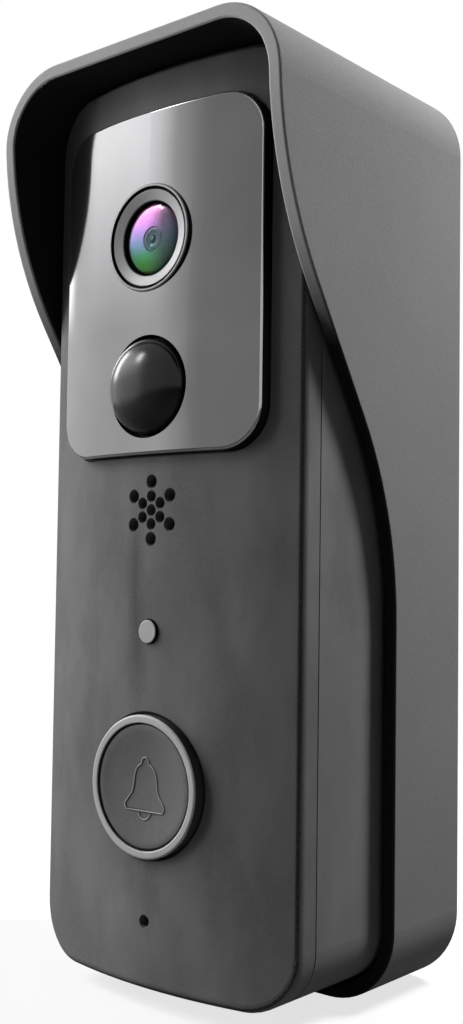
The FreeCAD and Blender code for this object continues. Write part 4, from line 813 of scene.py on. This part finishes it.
# Painted highlight on the bead, and painted shade in the line around it
bellBeadHighlightLook = dict(capLook, dark=(0.24, 0.24, 0.24), light=(0.31, 0.31, 0.31), grain=0.05, gloss=0.2)
bellLineShadeLook = dict(capLook, dark=(0.010, 0.010, 0.010), light=(0.016, 0.016, 0.016), grain=0.05, gloss=0.05)
capMiddle, capFront = addButtonCap(buttonLook)
addBellLine(bellLook, buttonLook, capMiddle, capFront, "bellBead", bellLook["bead"], bellLook["beadLift"],
            mouldedFinish("bellBeadPaintedHighlight", bellBeadHighlightLook))
addBellLine(bellLook, buttonLook, capMiddle, capFront, "bellLine", bellLook["line"], bellLook["lineLift"],
            mouldedFinish("bellLinePaintedShade", bellLineShadeLook))
print("outside pieces made")

# At the photograph's viewing angle; turns in degrees, focal length in millimetres
cameraLook = {"azimuth": 40.12, "pitch": 3.0, "roll": 0.80, "lens": 44.455,
              "place": (0.13343, -0.18172, -0.00865)}


def addCamera(look):
    a, p, r = (math.radians(look[key]) for key in ("azimuth", "pitch", "roll"))
    up = Vector((0, 0, 1))
    side = Vector((math.cos(a), math.sin(a), 0))
    level = Vector((-math.sin(a), math.cos(a), 0))
    ahead = level * math.cos(p) + up * math.sin(p)
    head = up * math.cos(p) - level * math.sin(p)
    right = side * math.cos(r) + head * math.sin(r)
    above = head * math.cos(r) - side * math.sin(r)
    data = bpy.data.cameras.new("photoCamera")
    data.lens = look["lens"]
    camera = placed("photoCamera", data)
    rows = [(*row, spot) for row, spot in zip(zip(right, above, -ahead), look["place"])]
    camera.matrix_world = Matrix(rows + [(0, 0, 0, 1)])
    bpy.context.scene.camera = camera


addCamera(cameraLook)

# Large soft lamps. The fill, key and side lamps stay out of the gloss, so that they leave no hot spots;
# the two strips make the glints on the dome and the lens
lampLooks = {
    "softWall": {"azimuth": -60, "elevation": 10, "distance": 1.00, "size": (1.26, 1.60), "power": 8.5,
                 "fade": (0.20, 0.20), "mirrored": True},
    "bandLamp": {"azimuth": -53, "elevation": 27, "distance": 1.00, "size": (0.62, 0.56), "power": 3.8,
                 "fade": (0.25, 0.40), "mirrored": True},
    "fillWall": {"azimuth": -62, "elevation": 2, "distance": 1.00, "size": (0.70, 0.16), "power": 5.4,
                 "fade": (0.10, 0.10), "mirrored": False},
    "keyLamp": {"azimuth": -66, "elevation": 38, "distance": 1.00, "size": (0.30, 0.30), "power": 5.4,
                "fade": (0.05, 0.05), "mirrored": False},
    "stripLamp": {"azimuth": -79, "elevation": 24, "distance": 1.00, "size": (0.28, 0.46), "power": 5.6,
                  "fade": (0.20, 0.20), "mirrored": True},
    "highStrip": {"azimuth": -42, "elevation": 35, "distance": 1.00, "size": (0.16, 0.36), "power": 4.6,
                  "fade": (0.30, 0.35), "mirrored": True},
    "sideLamp": {"azimuth": 136, "elevation": 45, "distance": 0.30, "size": (0.07, 0.11), "power": 1.9,
                 "fade": (0.05, 0.05), "mirrored": False},
}
lampAim = Vector((0, -0.02, 0.02))


def fadeEdges(data, fade):
    data.use_nodes = True
    tree = data.node_tree
    axes = splitAxes(tree, tree.nodes.new("ShaderNodeNewGeometry").outputs["Parametric"])
    level = 1.0
    for axis, width in zip(("X", "Y"), fade):
        fromMiddle = combined(tree, "ABSOLUTE", combined(tree, "SUBTRACT", axes[axis], 0.5), 0.0)
        level = combined(tree, "MULTIPLY", level, spread(tree, fromMiddle, 1.0, 0.0, 0.5 - width, 0.5))
    tree.links.new(level, tree.nodes["Emission"].inputs["Strength"])


def addLamp(name, look):
    a, e = math.radians(look["azimuth"]), math.radians(look["elevation"])
    toLamp = Vector((math.sin(a) * math.cos(e), -math.cos(a) * math.cos(e), math.sin(e)))
    data = bpy.data.lights.new(name, "AREA")
    data.shape = "RECTANGLE"
    data.size, data.size_y = look["size"]
    data.energy = look["power"]
    fadeEdges(data, look["fade"])
    lamp = placed(name, data)
    lamp.location = lampAim + toLamp * look["distance"]
    lamp.rotation_euler = (-toLamp).to_track_quat("-Z", "Y").to_euler()
    lamp.visible_glossy = look["mirrored"]


for name, look in lampLooks.items():
    addLamp(name, look)

floorLook = {"size": 3.0, "cells": 8, "drop": 0.0001, "seen": (0.90, 0.90, 0.90), "bounced": (0.15, 0.15, 0.15),
             "roughness": 0.7, "gloss": 0.1, "glow": (0.72, 1.0), "glowReach": (0.06, 0.35)}


# White where the camera sees it, with the object's shadow; a greyer one lights the object from below
def addFloor(look):
    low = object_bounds()[0].z
    shape = bmesh.new()
    bmesh.ops.create_grid(shape, x_segments=look["cells"], y_segments=look["cells"], size=look["size"])
    bmesh.ops.translate(shape, verts=shape.verts, vec=(0, 0, low - look["drop"]))
    mesh = meshFrom("paleFloor", shape)
    floor = placed("paleFloor", mesh)
    floor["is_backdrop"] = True
    finish, tree, shader, place = newFinish("paleFloorPaint")
    path = tree.nodes.new("ShaderNodeLightPath")
    isSeen = path.outputs["Is Camera Ray"]
    tree.links.new(mixedColour(tree, isSeen, look["bounced"], look["seen"]), shader.inputs["Base Color"])
    shader.inputs["Roughness"].default_value = look["roughness"]
    shader.inputs["Specular IOR Level"].default_value = look["gloss"]
    glow = tree.nodes.new("ShaderNodeEmission")
    far = spread(tree, distance(tree, place), *look["glow"], *look["glowReach"])
    mix = tree.nodes.new("ShaderNodeMixShader")
    tree.links.new(combined(tree, "MULTIPLY", far, isSeen), mix.inputs[0])
    tree.links.new(shader.outputs[0], mix.inputs[1])
    tree.links.new(glow.outputs[0], mix.inputs[2])
    tree.links.new(mix.outputs[0], tree.nodes["Material Output"].inputs["Surface"])
    mesh.materials.append(finish)


addFloor(floorLook)

skyLook = {"dim": 0.025}


# White where it is seen, mirrored or looked through, and nearly dark for everything else
def addSky(look):
    world = bpy.data.worlds.new("studio")
    bpy.context.scene.world = world
    world.use_nodes = True
    tree = world.node_tree
    back = tree.nodes["Background"]
    back.inputs["Color"].default_value = (1, 1, 1, 1)
    path = tree.nodes.new("ShaderNodeLightPath")
    shown = combined(tree, "MAXIMUM", path.outputs["Is Camera Ray"], path.outputs["Is Glossy Ray"])
    shown = combined(tree, "MAXIMUM", shown, path.outputs["Is Transmission Ray"])
    tree.links.new(spread(tree, shown, look["dim"], 1.0, 0.0, 1.0), back.inputs["Strength"])


addSky(skyLook)
bpy.context.scene.view_settings.view_transform = "Standard"
print("camera, floor and light placed")
